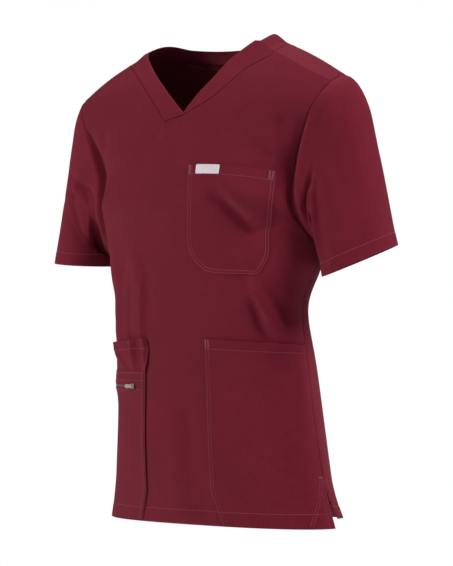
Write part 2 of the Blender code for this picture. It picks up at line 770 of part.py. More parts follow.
def back_band():
    """The back of the neckband, from one shoulder seam to the other."""
    left = []
    for (seam_row, _), (edge_row, edge_x) in zip(BACK_SEAM, BACK_EDGE):
        rows = np.linspace(seam_row, edge_row, BAND_COLUMNS + 1)
        seam, inner = back_neck(seam_row), BACK.across_at(edge_row, edge_x)
        places = np.linspace(seam, inner, BAND_COLUMNS + 1)
        left.append(list(zip(rows, places)))
    right = [[(row, -part) for row, part in line] for line in left[:0:-1]]
    lines = right + left
    points = np.array([[BACK.point(row, part) for row, part in line] for line in lines])
    normals = np.array([[BACK.normal(row, part) for row, part in line] for line in lines])
    points = stand_back(points, "first", "top", "bottom")
    thick = np.full(points.shape[:2], BAND)
    thick[:, 0] = CLOTH
    points[:, 1:] += normals[:, 1:] * (BAND - CLOTH) / 2
    wall = Wall("neckband_back", CLOTH_FINISH)
    wall.patch(points, normals, thick)
    wall.finished()


def patch_places(outline, sign):
    """The mesh rows and places of a patch: the front's own, cut to the patch's outline."""
    low = FRONT.row_of(outline[0][0])
    high = FRONT.row_of(outline[-1][0])
    near = SNAP / SHARED_ROWS
    inside = [row for row in SHARED + UPPER_FRONT if low + near < row < high - near]
    rows = [low] + inside + [high]
    places = []
    for row in rows:
        z = FRONT.rows(row)[1]
        inner = FRONT.across_along(row, table_value(outline, z, 1))
        outer = FRONT.across_along(row, table_value(outline, z, 2))
        lines = fan(front_middle(row), 1)
        snap = SNAP / COLUMNS
        lines = [inner if abs(part - inner) < snap else part for part in lines]
        lines = [outer if abs(part - outer) < snap else part for part in lines]
        places.append(np.clip([inner] + lines + [outer], inner, outer))
        places[-1].sort()
    return rows, [sign * line for line in places]


def front_patch(name, outline, sign, layer, thick=CLOTH, finish=CLOTH_FINISH, gape=0.0, slope=0.0):
    """A piece that lies on the front, the given number of layers up from it. Its mouth can gape,
    and slope down to the side by a number of rows."""
    rows, places = patch_places(outline, sign)
    below = np.array([outline[-1][0] - FRONT.rows(row)[1] for row in rows])
    parts = [(np.abs(line) - abs(line[0])) / (abs(line[-1]) - abs(line[0])) for line in places]
    felt = slope * np.clip(1 - below / SLOPE_REACH, 0, 1)
    sloped = [row - part * drop for row, part, drop in zip(rows, parts, felt)]
    points, normals = FRONT.lay(sloped, places)
    lift = np.full(points.shape[:2], layer * (CLOTH + LIFT) - CLOTH + thick)
    for i, part in enumerate(parts):
        reach = max(1 - below[i] / MOUTH_REACH, 0.0)
        lift[i] += gape * reach**0.5 * np.sin(pi * part * MOUTH_BUMPS) ** 2 * np.sin(pi * part)
    points = points + normals * lift[..., None]
    wall = Wall(name, finish)
    wall.patch(points, normals, thick)
    return wall.finished()


def neck_label():
    """A plain label on the inside of the back, under the neck seam."""
    rows = np.linspace(*LABEL_ROWS, LABEL_GRID[0])
    places = []
    for row in rows:
        edge = BACK.across_at(row, LABEL_HALF)
        places.append(np.linspace(-edge, edge, LABEL_GRID[1]))
    points, normals = BACK.lay(rows, places)
    points = points - normals * (CLOTH + LIFT)
    wall = Wall("neck_label", LABEL_FINISH)
    wall.patch(points, normals, TRIM)
    wall.finished()


def zip_frame():
    """Axes at the slider: along the zip away from the middle line, down the cloth, and out."""
    row = FRONT.row_of(ZIP_Z)
    place = -FRONT.across_along(row, SLIDER_AT)
    out = FRONT.normal(row, place)
    sideways, _ = FRONT.slopes(FRONT.point, row, place)
    along = unit(-(sideways - out * (sideways @ out)))
    down = np.cross(out, along)
    surface = 2 * (CLOTH + LIFT) + LIFT + ZIP_THICK + 2 * HALF_GAP
    origin = FRONT.point(row, place) + out * surface
    axes = np.eye(4)
    axes[:3, 0] = along
    axes[:3, 1] = down
    axes[:3, 2] = out
    axes[:3, 3] = origin
    return Matrix(axes.tolist())


def box(mesh, size, centre):
    """A box in a bmesh."""
    made = bmesh.ops.create_cube(mesh, size=1.0)["verts"]
    bmesh.ops.scale(mesh, vec=size, verts=made)
    bmesh.ops.translate(mesh, vec=centre, verts=made)


def zip_slider(frame):
    """The slider's plate, with the bridge that the tab hangs on."""
    plate = bmesh.new()
    box(plate, SLIDER_SIZE, (0, 0, SLIDER_SIZE[2] / 2))
    body = as_object("zip_slider", plate, METAL_FINISH)
    body.matrix_world = frame
    top = SLIDER_SIZE[2]
    post = BRIDGE_INSIDE + BRIDGE_THICK + BRIDGE_SUNK
    post_z = top + post / 2 - BRIDGE_SUNK
    beside = BRIDGE_LENGTH / 2 - BRIDGE_THICK / 2
    shapes = (
        ("front post", (BRIDGE_THICK, BRIDGE_WIDTH, post), (beside, 0, post_z)),
        ("back post", (BRIDGE_THICK, BRIDGE_WIDTH, post), (-beside, 0, post_z)),
        (
            "bar",
            (BRIDGE_LENGTH, BRIDGE_WIDTH, BRIDGE_THICK),
            (0, 0, top + BRIDGE_INSIDE + BRIDGE_THICK / 2),
        ),
    )
    for name, size, centre in shapes:
        mesh = bmesh.new()
        box(mesh, size, centre)
        tool = as_object(name, mesh, METAL_FINISH)
        tool.matrix_world = frame
        tool.hide_render = True
        tool.display_type = "WIRE"
        join = body.modifiers.new(name, "BOOLEAN")
        join.operation = "UNION"
        join.object = tool


def pull_tab(frame):
    """The flat tab, its crossbar on the hinge axis under the bridge."""
    plate = bmesh.new()
    box(plate, (PULL_LENGTH, PULL_WIDTH, PULL_THICK), (PULL_LENGTH / 2 - PULL_BAR / 2, 0, 0))
    tab = as_object("pull_tab", plate, METAL_FINISH)
    tab.matrix_world = frame @ Matrix.Translation((0, 0, SLIDER_SIZE[2] + AXIS_HEIGHT))
    hole = bmesh.new()
    size = (PULL_HOLE[0], PULL_HOLE[1], 3 * PULL_THICK)
    box(hole, size, (PULL_BAR / 2 + PULL_HOLE[0] / 2, 0, 0))
    cutter = as_object("eye", hole, METAL_FINISH)
    cutter.matrix_world = tab.matrix_world
    cutter.hide_render = True
    cutter.display_type = "WIRE"
    cut = tab.modifiers.new("eye", "BOOLEAN")
    cut.operation = "DIFFERENCE"
    cut.object = cutter


def main():
    for old in list(bpy.data.objects):
        bpy.data.objects.remove(old)
    group = bpy.data.collections.new("scrub top")
    bpy.context.scene.collection.children.link(group)
    front_edge = front_panel()
    back_edge = back_panel()
    for side in ("left", "right"):
        sleeve(side, front_edge, back_edge)
        front_band(side)
    back_band()
    front_patch("chest_pocket", CHEST_POCKET, 1, 1)
    tag = ((TAG_Z[0], *TAG_EDGES), (TAG_Z[1], *TAG_EDGES))
    front_patch("chest_tag", tag, 1, 2, TRIM, TAG_FINISH)
    front_patch("pocket_left", LEFT_POCKET, 1, 1, slope=MOUTH_SLOPE)
    front_patch("pocket_right", RIGHT_POCKET, -1, 1, gape=MOUTH_GAPE, slope=MOUTH_SLOPE)
    front_patch("phone_pocket", PHONE_POCKET, -1, 2)
    coil = ((ZIP_Z - ZIP_HALF, *ZIP_EDGES), (ZIP_Z + ZIP_HALF, *ZIP_EDGES))
    front_patch("zip_coil", coil, -1, 3, ZIP_THICK)
    frame = zip_frame()
    zip_slider(frame)
    pull_tab(frame)
    neck_label()


main()
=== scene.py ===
"""A V-neck scrub top in burgundy workwear twill, filled out with no wearer in it, in a studio.

Metres, +Z up. The wearer faces -Y and the wearer's left is +X. The origin is the middle of the
neck opening, level with the front ends of the shoulder seams.

Every cloth piece is a thin shell cut from the same two smooth sheets, the front and the back of
the body. A place on a sheet is (row, across): row counts the table's sections up from the hem, and
across runs from -1 at the wearer's right edge to 1 at the left edge.
"""

from math import copysign, pi, radians

import bmesh
import bpy
import numpy as np
from mathutils import Matrix, Vector


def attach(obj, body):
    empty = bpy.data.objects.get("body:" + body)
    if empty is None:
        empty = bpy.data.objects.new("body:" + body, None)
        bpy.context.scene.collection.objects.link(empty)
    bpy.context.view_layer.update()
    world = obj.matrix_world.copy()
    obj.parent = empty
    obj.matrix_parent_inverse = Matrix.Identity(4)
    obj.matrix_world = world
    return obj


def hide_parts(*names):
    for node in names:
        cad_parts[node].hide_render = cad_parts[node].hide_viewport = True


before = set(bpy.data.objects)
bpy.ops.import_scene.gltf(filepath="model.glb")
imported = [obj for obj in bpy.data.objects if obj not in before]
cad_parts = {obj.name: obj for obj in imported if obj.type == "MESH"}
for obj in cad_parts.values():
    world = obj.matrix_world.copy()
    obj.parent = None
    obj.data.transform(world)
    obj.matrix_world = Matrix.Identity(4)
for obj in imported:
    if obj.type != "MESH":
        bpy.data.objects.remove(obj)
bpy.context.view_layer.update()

# ------------------------------------------------------------------ the shape of the garment

# Sections up the side seam: where the front and the back meet, wearer's left
SIDE = (
    # name, x, y, z
    ("hem", 0.203, 0.029, -0.716),
    ("vent", 0.193, 0.023, -0.655),
    ("hip", 0.184, 0.017, -0.595),
    ("high hip", 0.177, 0.011, -0.530),
    ("low waist", 0.172, 0.005, -0.458),
    ("waist", 0.170, 0.000, -0.390),
    ("ribs", 0.191, 0.002, -0.338),
    ("armpit", 0.2035, 0.001, -0.312),
)
# Sections up the front and the back of the armhole, armpit to shoulder seam, wearer's left
ARMHOLE_FRONT = (
    # name, x, y, z
    ("armpit", 0.2035, 0.001, -0.312),
    ("low chest", 0.1885, -0.0445, -0.250),
    ("chest", 0.1875, -0.0465, -0.198),
    ("high chest", 0.196, -0.0488, -0.163),
    ("V point", 0.2065, -0.0483, -0.136),
    ("low neck", 0.2195, -0.0480, -0.110),
    ("mid neck", 0.232, -0.0410, -0.0875),
    ("shoulder", 0.2405, -0.027, -0.0705),
)
ARMHOLE_BACK = (
    # name, x, y, z
    ("armpit", 0.2035, 0.001, -0.312),
    ("low blade", 0.205, 0.021, -0.245),
    ("blade", 0.202, 0.036, -0.198),
    ("high blade", 0.2025, 0.049, -0.157),
    ("yoke", 0.208, 0.053, -0.119),
    ("low neck", 0.221, 0.045, -0.085),
    ("nape", 0.2345, 0.030, -0.0655),
    ("ridge", 0.2425, 0.003, -0.0575),
    ("shoulder", 0.2405, -0.027, -0.0705),
)
# Sections of the sheets: a row starts level at the middle line, runs level for a while, and its
# outer end is aimed back along (aim_x, aim_y, aim_z)
FRONT_ROWS = (
    # name, mid_y, mid_z, level, aim_x, aim_y, aim_z
    ("hem", -0.063, -0.716, 0.117, -0.006, -0.060, 0.0),
    ("vent", -0.0705, -0.655, 0.116, -0.002, -0.061, 0.0),
    ("hip", -0.0755, -0.595, 0.110, 0.0, -0.060, 0.0),
    ("high hip", -0.078, -0.530, 0.107, 0.0, -0.059, 0.0),
    ("low waist", -0.0805, -0.458, 0.111, 0.0, -0.059, 0.0),
    ("waist", -0.082, -0.390, 0.117, 0.0, -0.062, 0.0),
    ("ribs", -0.084, -0.328, 0.117, 0.0, -0.060, 0.0),
    ("armpit", -0.086, -0.268, 0.108, -0.004, -0.050, 0.041),
    ("low chest", -0.0855, -0.225, 0.105, -0.022, -0.038, 0.017),
    ("chest", -0.080, -0.180, 0.100, -0.042, -0.028, 0.006),
    ("high chest", -0.0735, -0.140, 0.095, -0.052, -0.020, 0.010),
    ("V point", -0.0715, -0.1125, 0.090, -0.056, -0.016, 0.014),
    ("low neck", -0.064, -0.080, 0.088, -0.062, -0.016, 0.022),
    ("mid neck", -0.045, -0.036, 0.085, -0.074, -0.018, 0.034),
    ("shoulder", -0.010, 0.012, 0.080, -0.0936, -0.020, 0.052),
)
BACK_ROWS = (
    # name, mid_y, mid_z, level, aim_x, aim_y, aim_z
    ("hem", 0.124, -0.712, 0.105, 0.0, 0.050, 0.0),
    ("vent", 0.127, -0.655, 0.107, 0.0, 0.054, 0.0),
    ("hip", 0.127, -0.595, 0.107, 0.0, 0.058, 0.0),
    ("high hip", 0.120, -0.530, 0.105, 0.0, 0.058, 0.0),
    ("low waist", 0.105, -0.458, 0.098, 0.0, 0.051, 0.0),
    ("waist", 0.092, -0.390, 0.092, 0.0, 0.042, 0.0),
    ("ribs", 0.094, -0.328, 0.102, 0.0, 0.048, 0.0),
    ("armpit", 0.100, -0.268, 0.104, -0.003, 0.046, 0.041),
    ("low blade", 0.107, -0.225, 0.105, -0.020, 0.042, 0.004),
    ("blade", 0.112, -0.180, 0.103, -0.038, 0.034, 0.006),
    ("high blade", 0.112, -0.130, 0.100, -0.048, 0.026, 0.010),
    ("yoke", 0.106, -0.080, 0.095, -0.054, 0.024, 0.018),
    ("low neck", 0.092, -0.035, 0.090, -0.062, 0.022, 0.030),
    ("nape", 0.070, 0.002, 0.085, -0.074, 0.014, 0.042),
    ("ridge", 0.032, 0.021, 0.082, -0.086, 0.002, 0.052),
    ("shoulder", -0.010, 0.012, 0.080, -0.0936, -0.020, 0.052),
)
ARMPIT = len(SIDE) - 1  # the row where the side seam ends and the armholes start

# Side vents: the slit's top, and how far the hem's corners spread from the side seam
VENT_TOP = -0.645
VENT_SPREAD = {"front": (0.007, -0.003, -0.001), "back": (0.005, 0.006, 0.013)}

# The neck: a V whose point is closed by the end of the wearer's right band, which lies over the
# left one. A seam line and an inner edge for each band, in the front view.
V_POINT = (-0.034, -0.1136)  # lower corner of the right band
V_CORNER = (0.001, -0.1066)  # the band's end meets its inner edge
V_INNER = (0.000, -0.1025)  # the two inner edges meet
SHOULDER_SEAM_X = 0.1385  # where the seam lines reach the shoulder seam
SHOULDER_EDGE_X = 0.111  # where the inner edges do
BAND_LAP = 0.002  # how far the right band's end laps over the left seam, across the row
BAND_SLANT = 0.003  # and further at its lower corner
LEFT_SEAM = (
    # z, x
    (-0.1136, -0.0340),
    (-0.1066, 0.0010),
    (-0.0945, 0.0290),
    (-0.0815, 0.0550),
    (-0.0643, 0.0765),
    (-0.0455, 0.0975),
    (-0.0342, 0.1180),
    (-0.0245, 0.1385),
)
RIGHT_SEAM = (
    # z, x
    (-0.1136, -0.0340),
    (-0.0851, -0.0625),
    (-0.0549, -0.0946),
    (-0.0390, -0.1140),
    (-0.0264, -0.1330),
    (-0.0220, -0.1385),
)
LEFT_EDGE = (
    # z, x
    (-0.1025, 0.0000),
    (-0.0735, 0.0235),
    (-0.0545, 0.0435),
    (-0.0330, 0.0640),
    (-0.0160, 0.0870),
    (0.0000, 0.1110),
)
RIGHT_EDGE = (
    # z, x
    (-0.1025, 0.0000),
    (-0.0864, -0.0198),
    (-0.0631, -0.0464),
    (-0.0389, -0.0767),
    (-0.0160, -0.1040),
    (0.0000, -0.1110),
)
BACK_NECK = (
    # seam row, seam x, edge row, edge x: from the middle of the back round to the shoulder seam
    (12.200, 0.0000, 13.020, 0.0000),
    (12.225, 0.0240, 13.035, 0.0180),
    (12.300, 0.0460, 13.085, 0.0352),
    (12.430, 0.0665, 13.170, 0.0510),
    (12.620, 0.0850, 13.300, 0.0660),
    (12.860, 0.1010, 13.460, 0.0788),
    (13.150, 0.1142, 13.660, 0.0895),
    (13.500, 0.1245, 13.900, 0.0985),
    (13.850, 0.1315, 14.160, 0.1045),
    (14.200, 0.1360, 14.430, 0.1082),
    (14.600, 0.1385, 14.710, 0.1105),
    (15.000, 0.1385, 15.000, 0.1110),
)

# Sleeves: the cuff ring, and how the cloth leaves the armhole and comes down to the cuff
CUFF_CENTRE = {"left": (0.257, 0.018, -0.3285), "right": (0.263, 0.015, -0.3235)}
CUFF_RADIUS_IN = 0.0480  # towards the body, where the arm flattens it
CUFF_RADIUS_OUT = 0.0585
CUFF_RADIUS_Y = 0.0590
CUFF_TILT = {"left": (0.333, 0.251), "right": (0.080, 0.040)}  # rise outwards, rise backwards
ARM_DOWN = (0.215, 0.040, -0.976)
LEAVE_LOW = (1.0, 0.0, 0.05)  # the way the cloth leaves the armpit
LEAVE_POWER = 0.7  # how late that gives way to the seam's own on the way up
REACH = (0.032, 0.049)  # how far the cloth runs on past the seam, at the armpit and on top
DROP = (0.030, 0.115)  # how far it hangs straight above the cuff, at the armpit and on top

# Broad folds in the cloth, between stops at (x, z) in the front view. Depth is out of the cloth:
# below 0 is a trough.
FRONT_FOLDS = (
    # depth, half width, stops
    (-0.0032, 0.014, (0.076, -0.232), (0.128, -0.281)),
    (0.0022, 0.016, (0.092, -0.214), (0.146, -0.258)),
    (-0.0055, 0.013, (0.176, -0.130), (0.182, -0.215)),
    (-0.0045, 0.013, (-0.176, -0.135), (-0.182, -0.215)),
    (0.0040, 0.014, (0.1335, -0.372), (0.160, -0.445)),
    (-0.0030, 0.016, (0.128, -0.345), (0.164, -0.400)),
    (0.0030, 0.013, (-0.088, -0.320), (-0.104, -0.415)),
    (-0.0025, 0.013, (-0.120, -0.335), (-0.148, -0.410)),
    (-0.0075, 0.024, (-0.182, -0.325), (-0.170, -0.370)),
    (0.0030, 0.026, (-0.164, -0.415), (-0.160, -0.500)),
    (-0.0020, 0.018, (0.020, -0.560), (0.032, -0.690)),
)
BACK_FOLDS = (
    # depth, half width, stops
    (0.0030, 0.017, (0.150, -0.190), (0.085, -0.330)),
    (0.0030, 0.017, (-0.150, -0.205), (-0.095, -0.345)),
    (-0.0040, 0.016, (0.115, -0.350), (0.060, -0.440)),
    (-0.0035, 0.016, (-0.118, -0.362), (-0.052, -0.430)),
    (0.0025, 0.020, (0.012, -0.400), (-0.006, -0.545)),
)
SLEEVE_FOLDS = {
    # depth, half width in both, stops as (turn, way down)
    "left": (
        (-0.0035, 0.045, (0.24, 0.30), (0.20, 0.90)),
        (-0.0030, 0.050, (0.80, 0.35), (0.84, 0.85)),
        (0.0045, 0.130, (0.50, 0.13), (0.50, 0.28)),
        (-0.0025, 0.140, (0.50, 0.58), (0.50, 0.90)),
    ),
    "right": (
        (-0.0035, 0.045, (0.36, 0.50), (0.20, 0.66)),
        (-0.0020, 0.035, (0.33, 0.66), (0.20, 0.74)),
        (-0.0030, 0.050, (0.78, 0.40), (0.82, 0.85)),
        (-0.0025, 0.140, (0.50, 0.35), (0.50, 0.80)),
    ),
}

# Finer creases, along lines of (x, z) in the front view, deepest half way along
FRONT_CREASES = (
    # depth, half width, stops
    (-0.0052, 0.0075, (0.056, -0.228), (0.083, -0.237), (0.106, -0.260), (0.134, -0.290)),
    (0.0018, 0.0080, (0.062, -0.246), (0.086, -0.254), (0.106, -0.276), (0.130, -0.300)),
    (0.0012, 0.0070, (0.094, -0.224), (0.118, -0.246), (0.140, -0.262)),
    (-0.0020, 0.0070, (0.128, -0.155), (0.148, -0.168), (0.172, -0.184)),
    (0.0080, 0.0070, (0.126, -0.343), (0.135, -0.373), (0.150, -0.410), (0.168, -0.458)),
    (-0.0050, 0.0075, (0.130, -0.374), (0.1335, -0.402), (0.140, -0.430), (0.150, -0.452)),
    (0.0075, 0.0065, (0.170, -0.362), (0.167, -0.405), (0.169, -0.428), (0.171, -0.455)),
    (-0.0036, 0.0055, (0.150, -0.364), (0.157, -0.392), (0.163, -0.420), (0.168, -0.446)),
    (0.0044, 0.0048, (0.169, -0.440), (0.173, -0.480), (0.176, -0.520), (0.181, -0.595)),
    (0.0018, 0.0080, (0.124, -0.470), (0.134, -0.481), (0.157, -0.505), (0.168, -0.534)),
    (-0.0016, 0.0090, (0.140, -0.466), (0.154, -0.482), (0.168, -0.505)),
    (0.0010, 0.0090, (0.112, -0.360), (0.116, -0.400), (0.122, -0.436)),
    (0.0034, 0.0070, (-0.073, -0.325), (-0.076, -0.366), (-0.079, -0.410), (-0.080, -0.462)),
    (-0.0036, 0.0075, (-0.096, -0.330), (-0.099, -0.367), (-0.104, -0.412), (-0.108, -0.470)),
    (0.0036, 0.0100, (-0.133, -0.340), (-0.135, -0.381), (-0.136, -0.420), (-0.136, -0.470)),
    (-0.0012, 0.0100, (-0.062, -0.320), (-0.058, -0.380), (-0.060, -0.430)),
    (-0.0014, 0.0110, (0.008, -0.520), (0.0115, -0.617), (0.014, -0.700)),
    (0.0010, 0.0120, (-0.024, -0.540), (-0.020, -0.620), (-0.022, -0.705)),
    (-0.0010, 0.0090, (-0.038, -0.118), (-0.058, -0.140), (-0.086, -0.158)),
    (0.0008, 0.0080, (-0.030, -0.122), (-0.046, -0.150), (-0.070, -0.176)),
    (0.0016, 0.0070, (0.160, -0.130), (0.162, -0.170), (0.164, -0.215)),
    (0.0050, 0.0200, (-0.166, -0.270), (-0.158, -0.340), (-0.154, -0.400), (-0.160, -0.450)),
    (-0.0018, 0.0080, (-0.160, -0.110), (-0.178, -0.150), (-0.186, -0.200)),
    (0.0012, 0.0080, (-0.140, -0.250), (-0.160, -0.236), (-0.186, -0.226)),
    (-0.0014, 0.0080, (-0.130, -0.268), (-0.156, -0.256), (-0.182, -0.250)),
    (0.0012, 0.0110, (0.150, -0.480), (0.158, -0.540), (0.166, -0.610)),
    (-0.0010, 0.0100, (0.120, -0.500), (0.124, -0.570), (0.130, -0.640)),
)
BACK_CREASES = (
    (0.0024, 0.0085, (0.168, -0.176), (0.140, -0.225), (0.112, -0.280), (0.082, -0.340)),
    (-0.0020, 0.0075, (0.176, -0.205), (0.150, -0.250), (0.126, -0.300), (0.106, -0.352)),
    (0.0016, 0.0080, (0.184, -0.238), (0.164, -0.278), (0.146, -0.330)),
    (0.0022, 0.0085, (-0.166, -0.184), (-0.136, -0.240), (-0.114, -0.300), (-0.090, -0.352)),
    (-0.0020, 0.0080, (-0.178, -0.214), (-0.150, -0.262), (-0.130, -0.318)),
    (0.0014, 0.0070, (-0.186, -0.246), (-0.166, -0.290), (-0.150, -0.338)),
    (-0.0026, 0.0080, (0.140, -0.372), (0.100, -0.392), (0.056, -0.402), (0.010, -0.398)),
    (0.0022, 0.0080, (0.146, -0.396), (0.104, -0.416), (0.060, -0.424), (0.018, -0.418)),
    (-0.0022, 0.0075, (-0.136, -0.380), (-0.094, -0.396), (-0.046, -0.402)),
    (0.0020, 0.0080, (-0.144, -0.402), (-0.098, -0.418), (-0.040, -0.424)),
    (-0.0016, 0.0090, (0.128, -0.436), (0.086, -0.446), (0.044, -0.444)),
    (0.0018, 0.0120, (0.060, -0.470), (0.066, -0.560), (0.074, -0.660)),
    (-0.0016, 0.0120, (-0.052, -0.470), (-0.060, -0.570), (-0.070, -0.680)),
    (0.0014, 0.0100, (-0.100, -0.500), (-0.112, -0.590), (-0.124, -0.690)),
    (-0.0012, 0.0110, (0.108, -0.500), (0.120, -0.590), (0.132, -0.690)),
    (-0.0010, 0.0120, (0.004, -0.080), (0.006, -0.150), (0.002, -0.240)),
    (0.0010, 0.0090, (0.120, -0.060), (0.150, -0.084), (0.184, -0.112)),
    (-0.0010, 0.0090, (-0.116, -0.066), (-0.148, -0.090), (-0.184, -0.120)),
)
# How deep the armhole seams are drawn in at the front
GROOVE = (
    # z, depth
    (-0.300, 0.0),
    (-0.270, 0.0060),
    (-0.235, 0.0125),
    (-0.160, 0.0115),
    (-0.132, 0.0050),
    (-0.112, 0.0),
)
# Finer creases of the sleeves, along lines of (turn, way down)
SLEEVE_CREASES = {
    "left": (
        (-0.0090, 0.024, (0.280, 0.25), (0.235, 0.26), (0.185, 0.225), (0.130, 0.15), (0.07, 0.05)),
        (-0.0110, 0.040, (0.180, 0.22), (0.120, 0.26), (0.080, 0.40), (0.060, 0.62)),
        (0.0050, 0.022, (0.300, 0.31), (0.260, 0.32), (0.205, 0.37), (0.165, 0.55), (0.145, 0.85)),
        (-0.0018, 0.013, (0.505, 0.12), (0.420, 0.155), (0.350, 0.13), (0.290, 0.115)),
        (-0.0012, 0.020, (0.330, 0.24), (0.360, 0.50), (0.352, 0.82)),
        (-0.0022, 0.020, (0.700, 0.30), (0.740, 0.52), (0.735, 0.86)),
        (0.0020, 0.020, (0.770, 0.22), (0.800, 0.46), (0.790, 0.80)),
        (-0.0016, 0.018, (0.860, 0.18), (0.880, 0.44), (0.870, 0.74)),
        (0.0010, 0.026, (0.560, 0.30), (0.575, 0.58), (0.570, 0.90)),
    ),
    "right": (
        (-0.0062, 0.015, (0.400, 0.47), (0.365, 0.45), (0.288, 0.385), (0.210, 0.20), (0.18, 0.12)),
        (0.0040, 0.018, (0.400, 0.55), (0.340, 0.50), (0.270, 0.45), (0.200, 0.32)),
        (-0.0060, 0.014, (0.420, 0.67), (0.388, 0.645), (0.313, 0.525), (0.258, 0.415), (0.20, 0.20)),
        (-0.0110, 0.045, (0.160, 0.14), (0.105, 0.22), (0.080, 0.42), (0.060, 0.75)),
        (0.0024, 0.022, (0.175, 0.34), (0.150, 0.42), (0.140, 0.60)),
        (-0.0020, 0.020, (0.680, 0.34), (0.720, 0.56), (0.716, 0.88)),
        (0.0020, 0.020, (0.760, 0.24), (0.790, 0.48), (0.784, 0.82)),
        (-0.0014, 0.018, (0.850, 0.20), (0.872, 0.46), (0.866, 0.78)),
    ),
}

# Patches: edges as distances along the cloth from the middle line, or, below 0, from the side
# seam, at heights on the middle line
CHEST_POCKET = (
    # z, inner, outer
    (-0.3435, 0.0700, 0.1365),
    (-0.3393, 0.0506, 0.1420),
    (-0.3295, 0.0375, 0.1490),
    (-0.3177, 0.0267, 0.1553),
    (-0.3074, 0.0223, 0.1572),
    (-0.2955, 0.0205, 0.1572),
    (-0.2794, 0.0208, 0.1572),
    (-0.2630, 0.0215, 0.1605),
    (-0.2424, 0.0217, 0.1667),
    (-0.2224, 0.0217, 0.1712),
    (-0.2055, 0.0217, 0.1718),
    (-0.1822, 0.0217, 0.1692),
)
LEFT_POCKET = (
    # z, inner, outer
    (-0.7150, 0.0695, -0.0370),
    (-0.6900, 0.0600, -0.0225),
    (-0.6670, 0.0515, -0.0110),
    (-0.6450, 0.0508, -0.0022),
    (-0.5640, 0.0504, -0.0016),
    (-0.4400, 0.0500, -0.0016),
)
RIGHT_POCKET = (
    # z, inner, outer
    (-0.7150, 0.0910, -0.0370),
    (-0.6690, 0.0755, -0.0120),
    (-0.6450, 0.0750, -0.0022),
    (-0.5780, 0.0736, -0.0016),
    (-0.4890, 0.0687, -0.0016),
    (-0.4750, 0.0630, -0.0016),
    (-0.4540, 0.0604, -0.0016),
    (-0.4390, 0.0654, -0.0016),
)
PHONE_POCKET = (
    # z, inner, outer
    (-0.7150, 0.0925, -0.0375),
    (-0.6690, 0.0770, -0.0125),
    (-0.6450, 0.0765, -0.0030),
    (-0.5780, 0.0751, -0.0024),
    (-0.4885, 0.0715, -0.0024),
)
TAG_Z = (-0.1962, -0.1824)
TAG_EDGES = (0.0355, 0.0788)

# The zip along the phone pocket. The tab's hinge, and the slider's axes: along the zip away from
# the middle line, down the cloth, and out
ZIP_Z = -0.5115
ZIP_EDGES = (0.0905, 0.1700)
ZIP_LINES = (-0.5030, -0.5168)  # the stitches above and below it
HINGE = (-0.097836, -0.076479, -0.511934)
HINGE_AXES = (
    (-0.96740, 0.25330, -0.00100),
    (0.012290, 0.043117, -0.998994),
    (-0.25300, -0.96640, -0.04480),
)
HINGE_HEIGHT = 0.0024  # above the slider's foot

# ------------------------------------------------------------------ cloth and sewing

CLOTH = 0.0006  # one layer
SEAM_DEPTH = 0.0009  # a seam's line lies this far under the cloth beside it
SEAM_WIDTH = 0.0013
NECK_DEPTH = 0.0006
NECK_WIDTH = 0.0009
ALLOWANCE = 0.0090  # the width of the cloth turned in behind a seam
ALLOWANCE_RISE = 0.00035
HEM = 0.0215  # depth of the bottom hem
CUFF_HEM = 0.0200
TURN = 0.00068  # radius of the fold along a hem
LINE_DEPTH = 0.0004  # a row of stitches is sunk this far
HEM_RISE = 0.0003  # the doubled cloth of a hem stands this far out
HEM_Z = FRONT_ROWS[0][2] + HEM  # the hem's stitches on the middle line
SEAM_STEPS = np.array((0, 0.0007, 0.0015, 0.0026, 0.0042, 0.0062, 0.0085))  # mesh lines near a seam
FINE = 121  # points of a curve that is only measured
FOLD_END = 6  # folds sink towards the outer end of a row, by this power of the way there
CREASE_END = 14
BODY_COLUMNS = 56  # even mesh columns from the middle to the seam's own
GRAIN = 0.0042  # mesh rows are about this far apart
WELD = 6  # decimals of a metre to which two patches' points are the same

STITCH_LENGTH = 0.0026
STITCH_STEP = 0.0035
STITCH_WIDTH = 0.00055
STITCH_LIFT = STITCH_WIDTH * 0.25
STITCH_BAR = 0.62  # share of a stitch that lies level
STITCH_TAPER = 0.45  # its ends are this thin, and sink by this share of its width
TACK_STEP = 0.0006  # stitches of a bar tack lie this close


def unit(vectors):
    return vectors / np.linalg.norm(vectors, axis=-1, keepdims=True)


def smooth(low, high, value):
    """0 below low, 1 above high, and smooth between."""
    part = np.clip((value - low) / (high - low), 0, 1)
    return part * part * (3 - 2 * part)


def hump(value, centre, width):
    return np.exp(-(((value - centre) / width) ** 2))


class Spline:
    """A natural cubic spline through rows of values at 0, 1, 2 and so on."""

    def __init__(self, rows):
        self.values = np.array(rows, float)
        self.last = len(self.values) - 1
        self.bend = np.zeros_like(self.values)
        inner = self.last - 1
        system = 4 * np.eye(inner) + np.eye(inner, k=1) + np.eye(inner, k=-1)
        self.bend[1:-1] = np.linalg.solve(system, 6 * np.diff(self.values, 2, axis=0))

    def __call__(self, place):
        place = np.asarray(place, float)
        low = np.clip(np.floor(place).astype(int), 0, self.last - 1)
        right = (place - low)[..., None]
        left = 1 - right
        straight = left * self.values[low] + right * self.values[low + 1]
        curve = (left**3 - left) * self.bend[low] + (right**3 - right) * self.bend[low + 1]
        return straight + curve / 6


def cubic(part, start, leave, arrive, end):
    """Places on the curves that leave their start for the second handle, and arrive at their end
    from the third."""
    part = part[..., None]
    left = 1 - part
    return left**3 * start + 3 * part * left**2 * leave + 3 * part**2 * left * arrive + part**3 * end


def run_along(points):
    """Distances along each row of points."""
    steps = np.linalg.norm(np.diff(points, axis=-2), axis=-1)
    return np.concatenate((np.zeros_like(steps[..., :1]), np.cumsum(steps, axis=-1)), axis=-1)


def sampled(at, along, values):
    """Rows of values at these distances along them."""
    return np.stack([np.interp(at, along, part) for part in values.T], -1)


